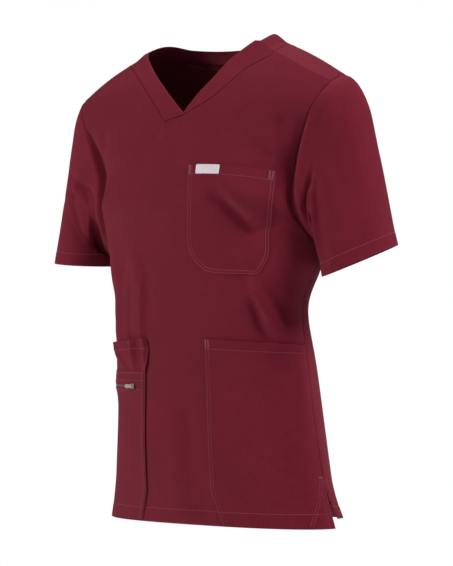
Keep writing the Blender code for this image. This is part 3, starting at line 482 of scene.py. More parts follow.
def row_by_row(at, along, values):
    """The same for single values, each row on its own."""
    return np.array([np.interp(*row) for row in zip(at, *np.broadcast_arrays(along, values))])


def column(table, key, number):
    """A table's column at these keys, straight between its rows."""
    return np.interp(key, [row[0] for row in table], [row[number] for row in table])


def nearest(points, line):
    """How far each point is from a line of points, and where along the line the nearest place is,
    as a share of its length."""
    run = run_along(line)
    away = np.full(points.shape[:-1], np.inf)
    along = np.zeros(points.shape[:-1])
    for k, (start, stop) in enumerate(zip(line[:-1], line[1:])):
        step = stop - start
        part = np.clip((points - start) @ step / (step @ step), 0, 1)
        here = np.linalg.norm(points - start - part[..., None] * step, axis=-1)
        along = np.where(here < away, run[k] + part * (run[k + 1] - run[k]), along)
        away = np.minimum(here, away)
    return away, np.clip(along / run[-1], 0, 1)


def fold_depth(folds, u, v, fading=False):
    """How far folds move the cloth out at (u, v). Fading ones rise and sink along their line."""
    places = np.stack(np.broadcast_arrays(u, v), -1)
    total = 0.0
    for depth, width, *stops in folds:
        away, along = nearest(places, np.array(stops))
        share = np.sin(pi * along) ** 0.8 if fading else 1.0
        total = total + depth * share * hump(away, 0, width)
    return total


class Sheet:
    """The front or the back of the body."""

    def __init__(self, rows, armhole, facing, spread, folds, creases):
        self.rows = Spline([row[1:] for row in rows])
        self.side = Spline([row[1:] for row in SIDE])
        self.armhole = Spline([row[1:] for row in armhole])
        self.last = len(rows) - 1
        self.facing = facing
        self.spread = np.array(spread)
        self.folds = folds
        self.creases = creases
        self.fine_rows = np.linspace(0, self.last, 40 * self.last + 1)
        middle = self.rows(self.fine_rows)[:, :2]
        self.fine_z = middle[:, 1]
        self.fine_run = run_along(middle)
        low = np.linspace(0, 3, 300)
        self.side_vent = float(np.interp(VENT_TOP, self.side(low)[:, 2], low))  # the slit's top row

    def end(self, row):
        """The outer edge: the side seam, spread at the vent, then the armhole."""
        side = self.side(np.minimum(row, ARMPIT))
        open_part = np.maximum((VENT_TOP - side[..., 2]) / (VENT_TOP - SIDE[0][3]), 0)
        side = side + self.spread * (open_part**1.5)[..., None]
        armhole = self.armhole(np.maximum(row - ARMPIT, 0))
        return np.where((np.asarray(row) < ARMPIT)[..., None], side, armhole)

    def bare(self, row, across):
        """The sheet with no folds."""
        row, across = np.broadcast_arrays(np.asarray(row, float), np.asarray(across, float))
        mid_y, mid_z, level, *aim = np.moveaxis(self.rows(row), -1, 0)
        end = self.end(row)
        start = np.stack((0 * mid_y, mid_y, mid_z), -1)
        leave = np.stack((level, mid_y, mid_z), -1)
        point = cubic(np.abs(across), start, leave, end + np.stack(aim, -1), end)
        point[..., 0] = np.copysign(point[..., 0], across)
        return point

    def out(self, surface, row, across, step=0.03):
        """The way out of the garment."""
        sideways = surface(row, across + step / 4) - surface(row, across - step / 4)
        up = surface(row + step, across) - surface(row - step, across)
        return unit(np.cross(sideways, up)) * self.facing

    def point(self, row, across):
        bare = self.bare(row, across)
        x, z = bare[..., 0], bare[..., 2]
        folded = fold_depth(self.folds, x, z)
        creased = fold_depth(self.creases, x, z, fading=True)
        depth = folded * np.maximum(1 - np.abs(across) ** FOLD_END, 0)
        depth = depth + creased * np.maximum(1 - np.abs(across) ** CREASE_END, 0)
        depth = depth * np.clip(self.last - row, 0, 1)
        return bare + self.out(self.bare, row, across) * depth[..., None]

    def normal(self, row, across):
        """The way out, the same for both sheets where they are sewn together."""
        row, across = np.broadcast_arrays(np.asarray(row, float), np.asarray(across, float))
        out = self.out(self.point, row, across)
        other = BACK if self is FRONT else FRONT
        on_top = row >= self.last
        on_side = (np.abs(across) >= 1) & (row <= ARMPIT)
        other_row = np.where(on_top, other.last, np.minimum(row, other.last))
        shared = unit(out + other.out(other.point, other_row, across))
        return np.where((on_top | on_side)[..., None], shared, out)

    def row_of(self, z):
        """The row whose middle has this height."""
        return np.interp(z, self.fine_z, self.fine_rows)

    def place_at(self, row, x):
        """The place on a row that lies this far to the wearer's left."""
        parts = np.linspace(0, 1, FINE)
        part = np.interp(abs(x), self.bare(row, parts)[:, 0], parts)
        return copysign(part, x)

    def row_at(self, x, z):
        """The row of the upper body that passes through a place in the front view."""
        rows = np.linspace(ARMPIT, self.last, 200)
        heights = [self.bare(row, self.place_at(row, x))[2] for row in rows]
        return float(np.interp(z, heights, rows))

    def crossing(self, row, line, sign):
        """Where a row crosses a line of the front view, given as rows of (z, x)."""
        parts = np.linspace(-0.3, 1.0, 4 * FINE) * sign
        points = self.bare(row, parts)
        past = sign * (points[:, 0] - column(line, points[:, 2], 1))
        return float(np.interp(0, past, parts))

    def widths(self, rows):
        """Parts of half a row, and how far they are from the middle line along each row's cloth."""
        parts = np.linspace(0, 1, FINE)
        return parts, run_along(self.bare(rows[:, None], parts))

    def up(self, rows):
        """How far up the cloth from the hem these rows are."""
        return np.interp(rows, self.fine_rows, self.fine_run)

    def flat(self, rows, across):
        """Where places lie on the flat cloth, in metres."""
        u = row_by_row(np.abs(across), *self.widths(rows)) * np.sign(across)
        return np.stack(np.broadcast_arrays(u, self.up(rows)[:, None]), -1)


FRONT = Sheet(FRONT_ROWS, ARMHOLE_FRONT, 1, VENT_SPREAD["front"], FRONT_FOLDS, FRONT_CREASES)
BACK = Sheet(BACK_ROWS, ARMHOLE_BACK, -1, VENT_SPREAD["back"], BACK_FOLDS, BACK_CREASES)

V_ROWS = [FRONT.row_at(*V_POINT), FRONT.row_at(*V_CORNER), FRONT.row_at(*V_INNER)]
NECK = Spline(BACK_NECK)


def front_neck(row, sign):
    """Where the front's neck seam crosses a row above the V's point."""
    if row <= V_ROWS[0]:
        return FRONT.place_at(row, V_POINT[0])
    if row >= FRONT.last:
        return FRONT.place_at(row, sign * SHOULDER_SEAM_X)
    return FRONT.crossing(row, LEFT_SEAM if sign > 0 else RIGHT_SEAM, sign)


def front_start(row, sign):
    """Where a half of the front starts: on the middle line, led over to the V's point, then on the
    neck seam."""
    if row > V_ROWS[0]:
        return front_neck(row, sign)
    return smooth(ARMPIT, V_ROWS[0], row) * front_neck(V_ROWS[0], 1)


def back_start(row, sign):
    """Where a half of the back starts: on the middle line, then on the neck seam."""
    steps = np.linspace(0, NECK.last, 20 * NECK.last + 1)
    x = np.interp(row, NECK(steps)[:, 0], NECK(steps)[:, 1])
    return BACK.place_at(row, sign * x) if row > BACK_NECK[0][0] else 0.0


FRONT.start, FRONT.neck_row = front_start, V_ROWS[0]
BACK.start, BACK.neck_row = back_start, BACK_NECK[0][0]


def band_inner(row, sign):
    """The inner edge of a front band. The right one ends along the left seam."""
    left_end = front_neck(min(row, V_ROWS[1]), 1)
    if sign > 0:
        left_end += BAND_LAP
    else:
        left_end += BAND_SLANT * max((V_ROWS[1] - row) / (V_ROWS[1] - V_ROWS[0]), 0)
    if row <= V_ROWS[1]:
        return left_end
    if row < V_ROWS[2]:
        meet = FRONT.place_at(V_ROWS[2], V_INNER[0])
        part = (row - V_ROWS[1]) / (V_ROWS[2] - V_ROWS[1])
        return left_end + part * (meet - left_end)
    if row >= FRONT.last:
        return FRONT.place_at(row, sign * SHOULDER_EDGE_X)
    return FRONT.crossing(row, LEFT_EDGE if sign > 0 else RIGHT_EDGE, sign)


# ------------------------------------------------------------------ mesh lines


def stations(run, near_start, near_stop, count):
    """Distances along curves of these lengths: set ones near both ends, the rest even."""
    near_start = np.broadcast_to(near_start, (len(run), np.shape(near_start)[-1]))
    near_stop = np.broadcast_to(near_stop, (len(run), np.shape(near_stop)[-1]))
    length = run[:, -1:]
    first = near_start[:, -1:]
    last = length - near_stop[:, -1:]
    middle = first + (last - first) * np.linspace(0, 1, count)
    return np.concatenate((near_start[:, :-1], middle, length - near_stop[:, -2::-1]), axis=1)


def half_places(sheet, rows, sign):
    """Mesh places of a half of the body. Columns gather at the side, and above the armpit at the
    neck seam too."""
    parts = np.linspace(0, 1, FINE)
    starts = np.array([sheet.start(row, sign) for row in rows])
    places = starts[:, None] * (1 - parts) + sign * parts
    run = run_along(sheet.bare(rows[:, None], places))
    total = BODY_COLUMNS + 2 * len(SEAM_STEPS) - 3
    even = run[:, -1:] * np.arange(len(SEAM_STEPS)) / total
    gather = smooth(ARMPIT, sheet.neck_row, rows)[:, None]
    near_neck = even * (1 - gather) + SEAM_STEPS * gather
    at = stations(run, near_neck, SEAM_STEPS, BODY_COLUMNS)
    return row_by_row(at, run, places)


def even_rows(start, stop, length):
    """Rows from start to stop, about a grain apart over this length of cloth."""
    return np.linspace(start, stop, max(int(round(length / GRAIN)), 2) + 1)


def grid_normals(points, closed=False):
    """Outward normals of a grid whose rows and columns turn the same way as the first cell."""
    if closed:
        points = np.concatenate((points[:, -2:-1], points, points[:, 1:2]), axis=1)
    normals = unit(np.cross(np.gradient(points, axis=1), np.gradient(points, axis=0)))
    return normals[:, 1:-1] if closed else normals


def turned(points, normals, depth, radius=TURN):
    """The grid, carried on past its first row round a fold and up the inside as a hem. Returns its
    points and how many rows it gained."""
    down = points[0] - points[1]
    down -= normals[0] * np.sum(down * normals[0], axis=-1, keepdims=True)
    down = unit(down)
    centre = points[0] - (normals[0] + down) * radius
    angles = np.radians((180, 144, 108, 72, 36, 0))[:, None, None]
    fold = centre + radius * (normals[0] * np.cos(angles) + down * np.sin(angles))
    run = run_along(np.moveaxis(points, 0, 1)).mean(axis=0)
    inside = [k for k in range(1, len(points)) if run[k] < depth]
    layer = points[inside[::-1]] - normals[inside[::-1]] * 2 * radius
    return np.concatenate((layer, fold, points[1:])), len(layer) + len(fold) - 1


class Cloth:
    """A sheet of cloth, made of grids that share their common points."""

    def __init__(self, name):
        self.name = name
        self.points = []
        self.flat = []
        self.worn = []
        self.faces = []
        self.count = 0

    def grid(self, points, flat, worn, outward):
        """Adds a grid of points whose faces look along outward."""
        height, width = points.shape[:2]
        facing = np.cross(points[1:, 1:] - points[:-1, :-1], points[1:, :-1] - points[:-1, 1:])
        flip = np.sum(facing * outward[:-1, :-1]) < 0
        index = np.arange(height * width).reshape(height, width) + self.count
        corners = [index[:-1, :-1], index[:-1, 1:], index[1:, 1:], index[1:, :-1]]
        if flip:
            corners.reverse()
        self.faces.append(np.stack(corners, -1).reshape(-1, 4))
        self.points.append(points.reshape(-1, 3))
        self.flat.append(np.broadcast_to(flat, (height, width, 2)).reshape(-1, 2))
        self.worn.append(np.broadcast_to(np.clip(worn, 0, 1), (height, width)).reshape(-1))
        self.count += height * width

    def hemmed(self, points, normals, flat, worn, depth, step, radius=TURN):
        """Adds a grid whose first row is turned in as a hem, with the hem's rows this step apart on
        the flat cloth."""
        full, gained = turned(points, normals, depth, radius)
        inside = np.arange(-gained, 0)[:, None, None] * np.array((0, step))
        flat = np.concatenate((flat[:1] + inside, flat))
        worn = np.concatenate((np.repeat(worn[:1], gained, axis=0), worn))
        outward = np.concatenate((0 * normals[:1].repeat(gained, axis=0), normals))
        self.grid(full, flat, worn, outward)

    def finished(self, material, thick=CLOTH):
        """The object: the skin welded, then given its thickness inwards."""
        points = np.concatenate(self.points)
        faces = np.concatenate(self.faces)
        flat = np.concatenate(self.flat)
        worn = np.concatenate(self.worn)
        _, first, merged = np.unique(
            np.round(points, WELD), axis=0, return_index=True, return_inverse=True
        )
        welded = merged.reshape(-1)[faces]
        whole = np.array([len(set(face)) == 4 for face in welded.tolist()])
        made = as_object(self.name, points[first], welded[whole].tolist(), material)
        layer = made.data.uv_layers.new(name="flat")
        layer.data.foreach_set("uv", flat[faces[whole].reshape(-1)].reshape(-1))
        wear = made.data.attributes.new("worn", "FLOAT", "POINT")
        wear.data.foreach_set("value", worn[first])
        made.data.shade_smooth()
        wall = made.modifiers.new("thickness", "SOLIDIFY")
        wall.thickness = thick
        wall.offset = -1
        wall.use_rim = True
        apply_modifiers(made)
        return made


def as_object(name, points, faces, material):
    data = bpy.data.meshes.new(name)
    data.from_pydata(points.tolist(), [], faces)
    made = bpy.data.objects.new(name, data)
    bpy.context.scene.collection.objects.link(made)
    data.materials.append(material)
    return made


def pick(made):
    """Only this object is selected and active."""
    bpy.ops.object.select_all(action="DESELECT")
    made.select_set(True)
    bpy.context.view_layer.objects.active = made


def apply_modifiers(made):
    pick(made)
    for modifier in list(made.modifiers):
        bpy.ops.object.modifier_apply(modifier=modifier.name)
    made.select_set(False)


# ------------------------------------------------------------------ finishes


class Socket:
    """An output of a material's node. Arithmetic on it adds Math nodes."""

    def __init__(self, finish, socket):
        self.finish = finish
        self.socket = socket

    def math(self, operation, *values):
        return self.finish.node("ShaderNodeMath", {"operation": operation}, dict(enumerate(values)))

    def __add__(self, other):
        return self.math("ADD", self, other)

    def __sub__(self, other):
        return self.math("SUBTRACT", self, other)

    def __mul__(self, other):
        return self.math("MULTIPLY", self, other)

    __radd__ = __add__
    __rmul__ = __mul__

    def wave(self, period):
        """A wave between -1 and 1 with this period."""
        return self.math("SINE", self * (2 * pi / period))

    def above(self, low, high):
        """0 below low and 1 above high."""
        settings = {"interpolation_type": "SMOOTHSTEP"}
        return self.finish.node(
            "ShaderNodeMapRange", settings, {0: self, 1: low, 2: high, 3: 0.0, 4: 1.0}
        )


class Finish:
    """A material under construction."""

    def __init__(self, name):
        self.material = bpy.data.materials.new(name)
        self.material.use_nodes = True
        self.tree = self.material.node_tree
        self.tree.nodes.clear()

    def node(self, kind, settings=None, sockets=None, output=0):
        """A node with these settings and these values or links on its sockets. Returns one of its
        outputs."""
        made = self.tree.nodes.new(kind)
        for key, value in (settings or {}).items():
            setattr(made, key, value)
        for key, value in (sockets or {}).items():
            if isinstance(value, Socket):
                self.tree.links.new(value.socket, made.inputs[key])
            else:
                made.inputs[key].default_value = value
        return Socket(self, made.outputs[output]) if made.outputs else made

    def split(self, vector):
        """A vector's first two parts."""
        return [self.node("ShaderNodeSeparateXYZ", {}, {0: vector}, output=k) for k in (0, 1)]

    def mix(self, factor, first, second):
        """One colour into another."""
        sockets = {0: factor, 6: first, 7: second}
        return self.node("ShaderNodeMix", {"data_type": "RGBA"}, sockets, output=2)

    def noise(self, place, scale, detail=2.0, stretch=(1, 1, 1)):
        """Noise about 0.5 at a place, finer along the axes with more stretch."""
        spread = self.node(
            "ShaderNodeVectorMath", {"operation": "MULTIPLY"}, {0: place, 1: stretch}
        )
        sockets = {"Vector": spread, "Scale": scale, "Detail": detail}
        return self.node("ShaderNodeTexNoise", {}, sockets)

    def bump(self, height, distance_m):
        return self.node("ShaderNodeBump", {}, {"Height": height, "Distance": distance_m})

    def flat_place(self):
        """A place on the flat cloth."""
        return self.node("ShaderNodeUVMap", {"uv_map": "flat"})

    def own_place(self):
        """A place in the object's own metres."""
        return self.node("ShaderNodeTexCoord", {}, {}, output=3)

    def surface(self, **sockets):
        """Ends the material with a shader that has these sockets."""
        named = {key.replace("_", " "): value for key, value in sockets.items()}
        shader = self.node("ShaderNodeBsdfPrincipled", {}, named)
        self.node("ShaderNodeOutputMaterial", {}, {"Surface": shader})
        return self.material


WALE = 0.00075  # the twill's diagonal ribs
WEFT = 0.00055
BURGUNDY = (0.0985, 0.0056, 0.0142, 1.0)
BURGUNDY_WORN = (0.1480, 0.0165, 0.0310, 1.0)
BURGUNDY_DEEP = (0.0690, 0.0040, 0.0100, 1.0)
THREAD = (0.1150, 0.0120, 0.0240, 1.0)
SILVER = (0.420, 0.370, 0.400, 1.0)
SILVER_DARK = (0.270, 0.230, 0.255, 1.0)
LABEL_WHITE = (0.760, 0.750, 0.730, 1.0)
LABEL_SHADE = (0.600, 0.590, 0.570, 1.0)
WHITE_SPUN = (0.620, 0.610, 0.590, 1.0)
TAPE = (0.045, 0.006, 0.010, 1.0)
TAPE_SHADE = (0.026, 0.004, 0.006, 1.0)
METAL = (0.540, 0.460, 0.460, 1.0)
METAL_DARK = (0.440, 0.370, 0.370, 1.0)
COIL = (0.030, 0.012, 0.016, 1.0)
COIL_PALE = (0.070, 0.030, 0.038, 1.0)


def cloth_finish(name, base, deep, worn_colour):
    """Fine twill: diagonal ribs, a few thicker yarns, cloudy dye, and paler folds and edges."""
    finish = Finish(name)
    flat = finish.flat_place()
    u, v = finish.split(flat)
    worn = finish.node("ShaderNodeAttribute", {"attribute_name": "worn"}, {}, output=2)
    ribs = (u + v).wave(WALE)
    weft = (u - v * 0.4).wave(WEFT)
    warp_slub = finish.noise(flat, 1.0, 2.0, (1400, 90, 1))
    weft_slub = finish.noise(flat, 1.0, 2.0, (90, 1400, 1))
    cloud = finish.noise(flat, 16.0, 3.0)
    patchy = finish.noise(flat, 70.0, 2.0)
    yarn = ribs * 0.10 + (warp_slub - 0.5) * 1.8 + (weft_slub - 0.5) * 1.4
    shade = yarn + (cloud - 0.5) * 0.9 + (patchy - 0.5) * 0.6
    colour = finish.mix(shade.above(-0.9, 0.9), deep, base)
    colour = finish.mix(shade.above(0.2, 1.6) * 0.35, colour, worn_colour)
    rub = worn * (0.45 + (patchy - 0.5) * 1.2)
    colour = finish.mix(rub.above(0.0, 1.0), colour, worn_colour)
    height = ribs * 0.5 + weft * 0.22 + (warp_slub - 0.5) * 1.4 + (weft_slub - 0.5) * 1.1
    rough = 0.84 + (patchy - 0.5) * 0.16 - worn * 0.05
    return finish.surface(
        Base_Color=colour,
        Roughness=rough,
        Specular_IOR_Level=0.05,
        Sheen_Weight=0.06,
        Sheen_Roughness=0.5,
        Sheen_Tint=(1.0, 0.36, 0.44, 1.0),
        Normal=finish.bump(height, 0.00018),
    )


def thread_finish(name, colour):
    """Spun thread, twisted along its length."""
    finish = Finish(name)
    place = finish.own_place()
    fuzz = finish.noise(place, 2600.0, 3.0)
    tone = finish.noise(place, 60.0, 2.0)
    pale = tuple(min(c * 1.35, 1.0) for c in colour[:3]) + (1.0,)
    return finish.surface(
        Base_Color=finish.mix(tone.above(0.3, 0.7) * 0.6 + fuzz * 0.2, colour, pale),
        Roughness=0.58 + (fuzz - 0.5) * 0.2,
        Specular_IOR_Level=0.4,
        Sheen_Weight=0.15,
        Normal=finish.bump(fuzz, 0.00006),
    )


def tape_finish(name, base, deep, rib, rough, metallic=0.0):
    """Woven tape, ribbed across."""
    finish = Finish(name)
    flat = finish.flat_place()
    u, v = finish.split(flat)
    ribs = v.wave(rib)
    across = u.wave(rib * 1.3)
    cloud = finish.noise(flat, 120.0, 3.0)
    shade = ribs * 0.3 + across * 0.12 + (cloud - 0.5) * 1.2
    return finish.surface(
        Base_Color=finish.mix(shade.above(-0.8, 0.8), deep, base),
        Roughness=rough + (cloud - 0.5) * 0.25,
        Metallic=metallic,
        Specular_IOR_Level=0.45,
        Sheen_Weight=0.1,
        Normal=finish.bump(ribs * 0.6 + across * 0.3 + cloud * 0.6, 0.00010),
    )


def metal_finish(name):
    """Plated die-cast zinc, scuffed where fingers and cloth rub it."""
    finish = Finish(name)
    place = finish.own_place()
    scuff = finish.noise(place, 900.0, 4.0, (1, 1, 5))
    tarnish = finish.noise(place, 220.0, 3.0)
    return finish.surface(
        Base_Color=finish.mix(tarnish.above(0.35, 0.75) * 0.7, METAL, METAL_DARK),
        Metallic=1.0,
        Roughness=0.26 + scuff * 0.22,
        Normal=finish.bump(scuff, 0.00004),
    )


def coil_finish(name):
    """Dyed nylon monofilament."""
    finish = Finish(name)
    place = finish.own_place()
    tone = finish.noise(place, 500.0, 3.0)
    return finish.surface(
        Base_Color=finish.mix(tone.above(0.4, 0.8), COIL, COIL_PALE),
        Roughness=0.42 + (tone - 0.5) * 0.2,
        Specular_IOR_Level=0.5,
        Normal=finish.bump(tone, 0.00004),
    )


TWILL = cloth_finish("burgundy twill", BURGUNDY, BURGUNDY_DEEP, BURGUNDY_WORN)
SEWING = thread_finish("burgundy thread", THREAD)
SILVER_TAPE = tape_finish("silver woven tape", SILVER, SILVER_DARK, 0.0007, 0.42, 0.25)
WHITE_TAPE = tape_finish("white woven label", LABEL_WHITE, LABEL_SHADE, 0.0006, 0.7)
ZIP_TAPE = tape_finish("zip tape", TAPE, TAPE_SHADE, 0.0006, 0.75)
PLATED = metal_finish("plated zip metal")
NYLON = coil_finish("zip coil nylon")
WHITE_THREAD = thread_finish("white thread", WHITE_SPUN)

# ------------------------------------------------------------------ stitches


def stitch_shape():
    """One stitch along X: a rounded bar whose ends dive into the cloth."""
    bpy.ops.object.select_all(action="DESELECT")
    bar = STITCH_LENGTH * STITCH_BAR
    bpy.ops.mesh.primitive_cylinder_add(
        vertices=6, radius=STITCH_WIDTH / 2, depth=bar, rotation=(0, pi / 2, 0)
    )
    made = bpy.context.active_object
    bpy.ops.object.transform_apply(location=True, rotation=True, scale=True)
    reach = (STITCH_LENGTH - bar) / 2
    sunk = STITCH_WIDTH * STITCH_TAPER
    bpy.ops.object.mode_set(mode="EDIT")
    for way in (-1, 1):
        mesh = bmesh.from_edit_mesh(made.data)
        for face in mesh.faces:
            face.select_set(way * face.calc_center_median().x > bar * 0.495)
        bmesh.update_edit_mesh(made.data)
        bpy.ops.mesh.extrude_region_move(TRANSFORM_OT_translate={"value": (way * reach, 0, -sunk)})
        bpy.ops.transform.resize(value=(1, STITCH_TAPER, STITCH_TAPER))
    bpy.ops.object.mode_set(mode="OBJECT")
    points, faces = taken(made)
    return points + np.array((0, 0, STITCH_LIFT)), faces


def taken(made):
    """The points and faces of a shape, which itself goes."""
    points = np.array([tuple(vertex.co) for vertex in made.data.vertices])
    faces = [list(polygon.vertices) for polygon in made.data.polygons]
    bpy.data.objects.remove(made)
    return points, faces


def copies(name, shape, centres, axes, material):
    """Copies of a shape, each at a centre and along three axes, as one mesh."""
    points, faces = shape
    placed = centres[:, None] + sum(points[None, :, k : k + 1] * axes[k][:, None] for k in range(3))
    every = [[k * len(points) + v for v in face] for k in range(len(centres)) for face in faces]
    made = as_object(name, placed.reshape(-1, 3), every, material)
    made.data.shade_smooth()
    return made


STITCH = stitch_shape()


class Sewing:
    """The stitches of one piece."""

    def __init__(self):
        self.centres = []
        self.alongs = []
        self.outs = []

    def line(self, points, normals, step=STITCH_STEP):
        """A row of stitches along a line of points on the cloth."""
        run = run_along(points)
        count = int(run[-1] / step)
        if count < 1:
            return
        margin = (run[-1] - (count - 1) * step) / 2
        at = margin + step * np.arange(count)
        half = STITCH_LENGTH / 2
        along = sampled(at + half, run, points) - sampled(at - half, run, points)
        keep = np.linalg.norm(along, axis=-1) > half
        self.centres.append(sampled(at, run, points)[keep])
        self.alongs.append(unit(along[keep]))
        self.outs.append(unit(sampled(at, run, normals)[keep]))

    def tack(self, start, stop, out):
        """A bar tack: stitches side by side across the line from start to stop."""
        along = unit(stop - start)
        count = max(int(np.linalg.norm(stop - start) / TACK_STEP), 2)
        centres = start + (stop - start) * np.linspace(0, 1, count)[:, None]
        across = unit(np.cross(out, along))
        self.centres.append(centres)
        self.alongs.append(np.repeat(across[None], count, axis=0))
        self.outs.append(np.repeat(out[None], count, axis=0))

    def finished(self, name, material):
        along = np.concatenate(self.alongs)
        side = unit(np.cross(np.concatenate(self.outs), along))
        axes = (along, side, np.cross(along, side))
        return copies(name, STITCH, np.concatenate(self.centres), axes, material)


class Laid:
    """A finished grid of cloth, to sew on: its points and normals, and where its rows and columns
    are on the sheet or the patch."""

    def __init__(self, points, normals, rows, columns):
        self.points = points
        self.normals = normals
        self.rows = rows
        self.columns = columns

    def at(self, row, place):
        """Points and normals at matching rows and places, by their own scales."""
        row, place = np.broadcast_arrays(np.atleast_1d(row).astype(float), place)
        i = np.interp(row, self.rows, np.arange(len(self.rows)))
        low = np.clip(i.astype(int), 0, len(self.rows) - 2)
        up = (i - low)[:, None]
        j = np.zeros(len(i))
        for k in range(len(i)):
            line = self.columns[low[k]] * (1 - up[k]) + self.columns[low[k] + 1] * up[k]
            order = 1 if line[-1] > line[0] else -1
            j[k] = np.interp(place[k] * order, line * order, np.arange(len(line)))
        left = np.clip(j.astype(int), 0, self.points.shape[1] - 2)
        over = (j - left)[:, None]
        found = []
        for grid in (self.points, self.normals):
            bottom = grid[low, left] * (1 - over) + grid[low, left + 1] * over
            top = grid[low + 1, left] * (1 - over) + grid[low + 1, left + 1] * over
            found.append(bottom * (1 - up) + top * up)
        return found[0], unit(found[1])


# ------------------------------------------------------------------ the body

SHOULDER_GAP = 0.052  # between the last two sections
GROOVE_WIDTH = 0.0150  # how far the drawn-in armhole is felt, on the body and on the sleeve
GROOVE_ON_SLEEVE = 0.0045
VENT_LINE = 0.0090  # the vents' stitches, from the edge
SEAM_ROWS = SEAM_STEPS / SHOULDER_GAP  # the same distances as rows, next to the shoulder seam
SEAMS = {
    # depth, half width
    "neck": (NECK_DEPTH, NECK_WIDTH),
    "armhole": (SEAM_DEPTH, SEAM_WIDTH),
    "side": (SEAM_DEPTH, SEAM_WIDTH),
    "shoulder": (SEAM_DEPTH, SEAM_WIDTH),
}


def with_hem_rows(sheet):
    """Rows from the hem to the armpit, closer together by the hem's stitches."""
    low = sheet.row_of(sheet.fine_z[0] + HEM - 0.002)
    high = sheet.row_of(sheet.fine_z[0] + HEM + 0.002)
    bottom = even_rows(0, low, HEM)
    stitched = np.linspace(low, high, 5)
    rest = even_rows(high, ARMPIT, 0.42)
    return np.concatenate((bottom[:-1], stitched, rest[1:]))


def front_rows():
    v_gap = np.linspace(V_ROWS[0], V_ROWS[2], 13)
    below = even_rows(ARMPIT, V_ROWS[0], 0.165)[1:-1]
    above = even_rows(V_ROWS[2], FRONT.last - SEAM_ROWS[-1], 0.135)[1:-1]
    return np.concatenate((with_hem_rows(FRONT), below, v_gap, above, FRONT.last - SEAM_ROWS[::-1]))


def back_rows():
    steps = np.linspace(0, NECK.last, 5 * NECK.last + 1)
    neck = NECK(steps)[:, 0]
    neck = neck[neck < BACK.last - SEAM_ROWS[-1]]
    below = even_rows(ARMPIT, neck[0], 0.215)[1:-1]
    return np.concatenate((with_hem_rows(BACK), below, neck, BACK.last - SEAM_ROWS[::-1]))


def seam_lines(sheet):
    """The lines of the body's seams, on one sheet: neck, armholes, shoulders and sides."""
    lines = []
    for sign in (1, -1):
        neck = np.linspace(sheet.neck_row + 1e-6, sheet.last, 90)
        places = np.array([sheet.start(row, sign) for row in neck])
        arm = np.linspace(ARMPIT, sheet.last, 120)
        side = np.linspace(sheet.side_vent, ARMPIT, 110)
        top = np.linspace(places[-1], sign, 40)
        lines.append(
            {
                "neck": sheet.point(neck, places),
                "armhole": sheet.point(arm, np.full(len(arm), float(sign))),
                "side": sheet.point(side, np.full(len(side), float(sign))),
                "shoulder": sheet.point(np.full(len(top), float(sheet.last)), top),
            }
        )
    return lines


def seam_relief(away, depth, width):
    """How far the cloth stands out at these distances from a seam: down at the seam itself, and up
    over the allowance behind it."""
    valley = -depth * np.exp(-((away / width) ** 1.4))
    over = ALLOWANCE_RISE * (1 - smooth(ALLOWANCE - 0.002, ALLOWANCE + 0.002, away))
    return valley + over * smooth(0, 0.002, away)


def seam_wear(away):
    """The cloth is rubbed paler along the ridge beside a seam."""
    return 0.2 * hump(away, 0.0022, 0.0014)


def hem_relief(up, width):
    """How far the bottom hem stands out this far up: doubled cloth, held by a line of stitches."""
    return HEM_RISE * (1 - smooth(HEM - 0.002, HEM + 0.002, up)) - LINE_DEPTH * hump(up, HEM, width)


def body(name, sheet, rows):
    """The front or the back, with its turned-up hem. Returns the object and its laid halves."""
    cloth = Cloth(name)
    laid = {}
    lines = seam_lines(sheet)
    for sign, seams in zip((1, -1), lines):
        places = half_places(sheet, rows, sign)
        points = sheet.point(rows[:, None], places)
        normals = sheet.normal(rows[:, None], places)
        relief = 0.0
        worn = 0.0
        for seam_name, seam in seams.items():
            away, _ = nearest(points, seam)
            relief = relief + seam_relief(away, *SEAMS[seam_name])
            worn = worn + seam_wear(away)
        if sheet is FRONT:
            away, _ = nearest(points, seams["armhole"])
            relief = relief - column(GROOVE, points[..., 2], 1) * hump(away, 0, GROOVE_WIDTH)
        hem_away = sheet.up(rows)[:, None]
        relief = relief + hem_relief(hem_away, 0.0011)
        slit = sheet.point(np.linspace(0, sheet.side_vent, 30), sign)
        vent_away, _ = nearest(points, slit)
        relief = relief - 0.0003 * hump(vent_away, VENT_LINE, 0.0010)
        worn = worn + hump(hem_away, 0.0, 0.002) + 0.8 * hump(vent_away, 0.0, 0.002)
        points = points + normals * relief[..., None]
        laid[sign] = Laid(points, normals, rows, places)
        cloth.hemmed(points, normals, sheet.flat(rows, places), worn, HEM, GRAIN * 0.6)
    return cloth.finished(TWILL), laid


FRONT_CLOTH, FRONT_LAID = body("front_cloth", FRONT, front_rows())
BACK_CLOTH, BACK_LAID = body("back_cloth", BACK, back_rows())

# ------------------------------------------------------------------ sleeves

SLEEVE_COLUMNS = 112
SLEEVE_EVEN = 44  # even mesh rows between the seam's own and the cuff's
CUFF_LINE = 0.0194  # its stitches, from the cuff's edge
CUFF_ALLOWANCE = (0.018, 0.021)  # where the doubled cloth of its hem ends
SLEEVE_QUIET = 0.006  # folds fade out this near the seam
SEAM_PULL = 0.0045  # the cloth faces the way the body's does this near the seam
CREASE_EASE = 0.93  # creases sink to half their depth from this part down to the cuff
CUFF_STEPS = np.array(
    (0, 0.004, 0.008, 0.012, 0.0155, 0.0175, 0.0186, CUFF_LINE, 0.0202, 0.0213, 0.024)
)


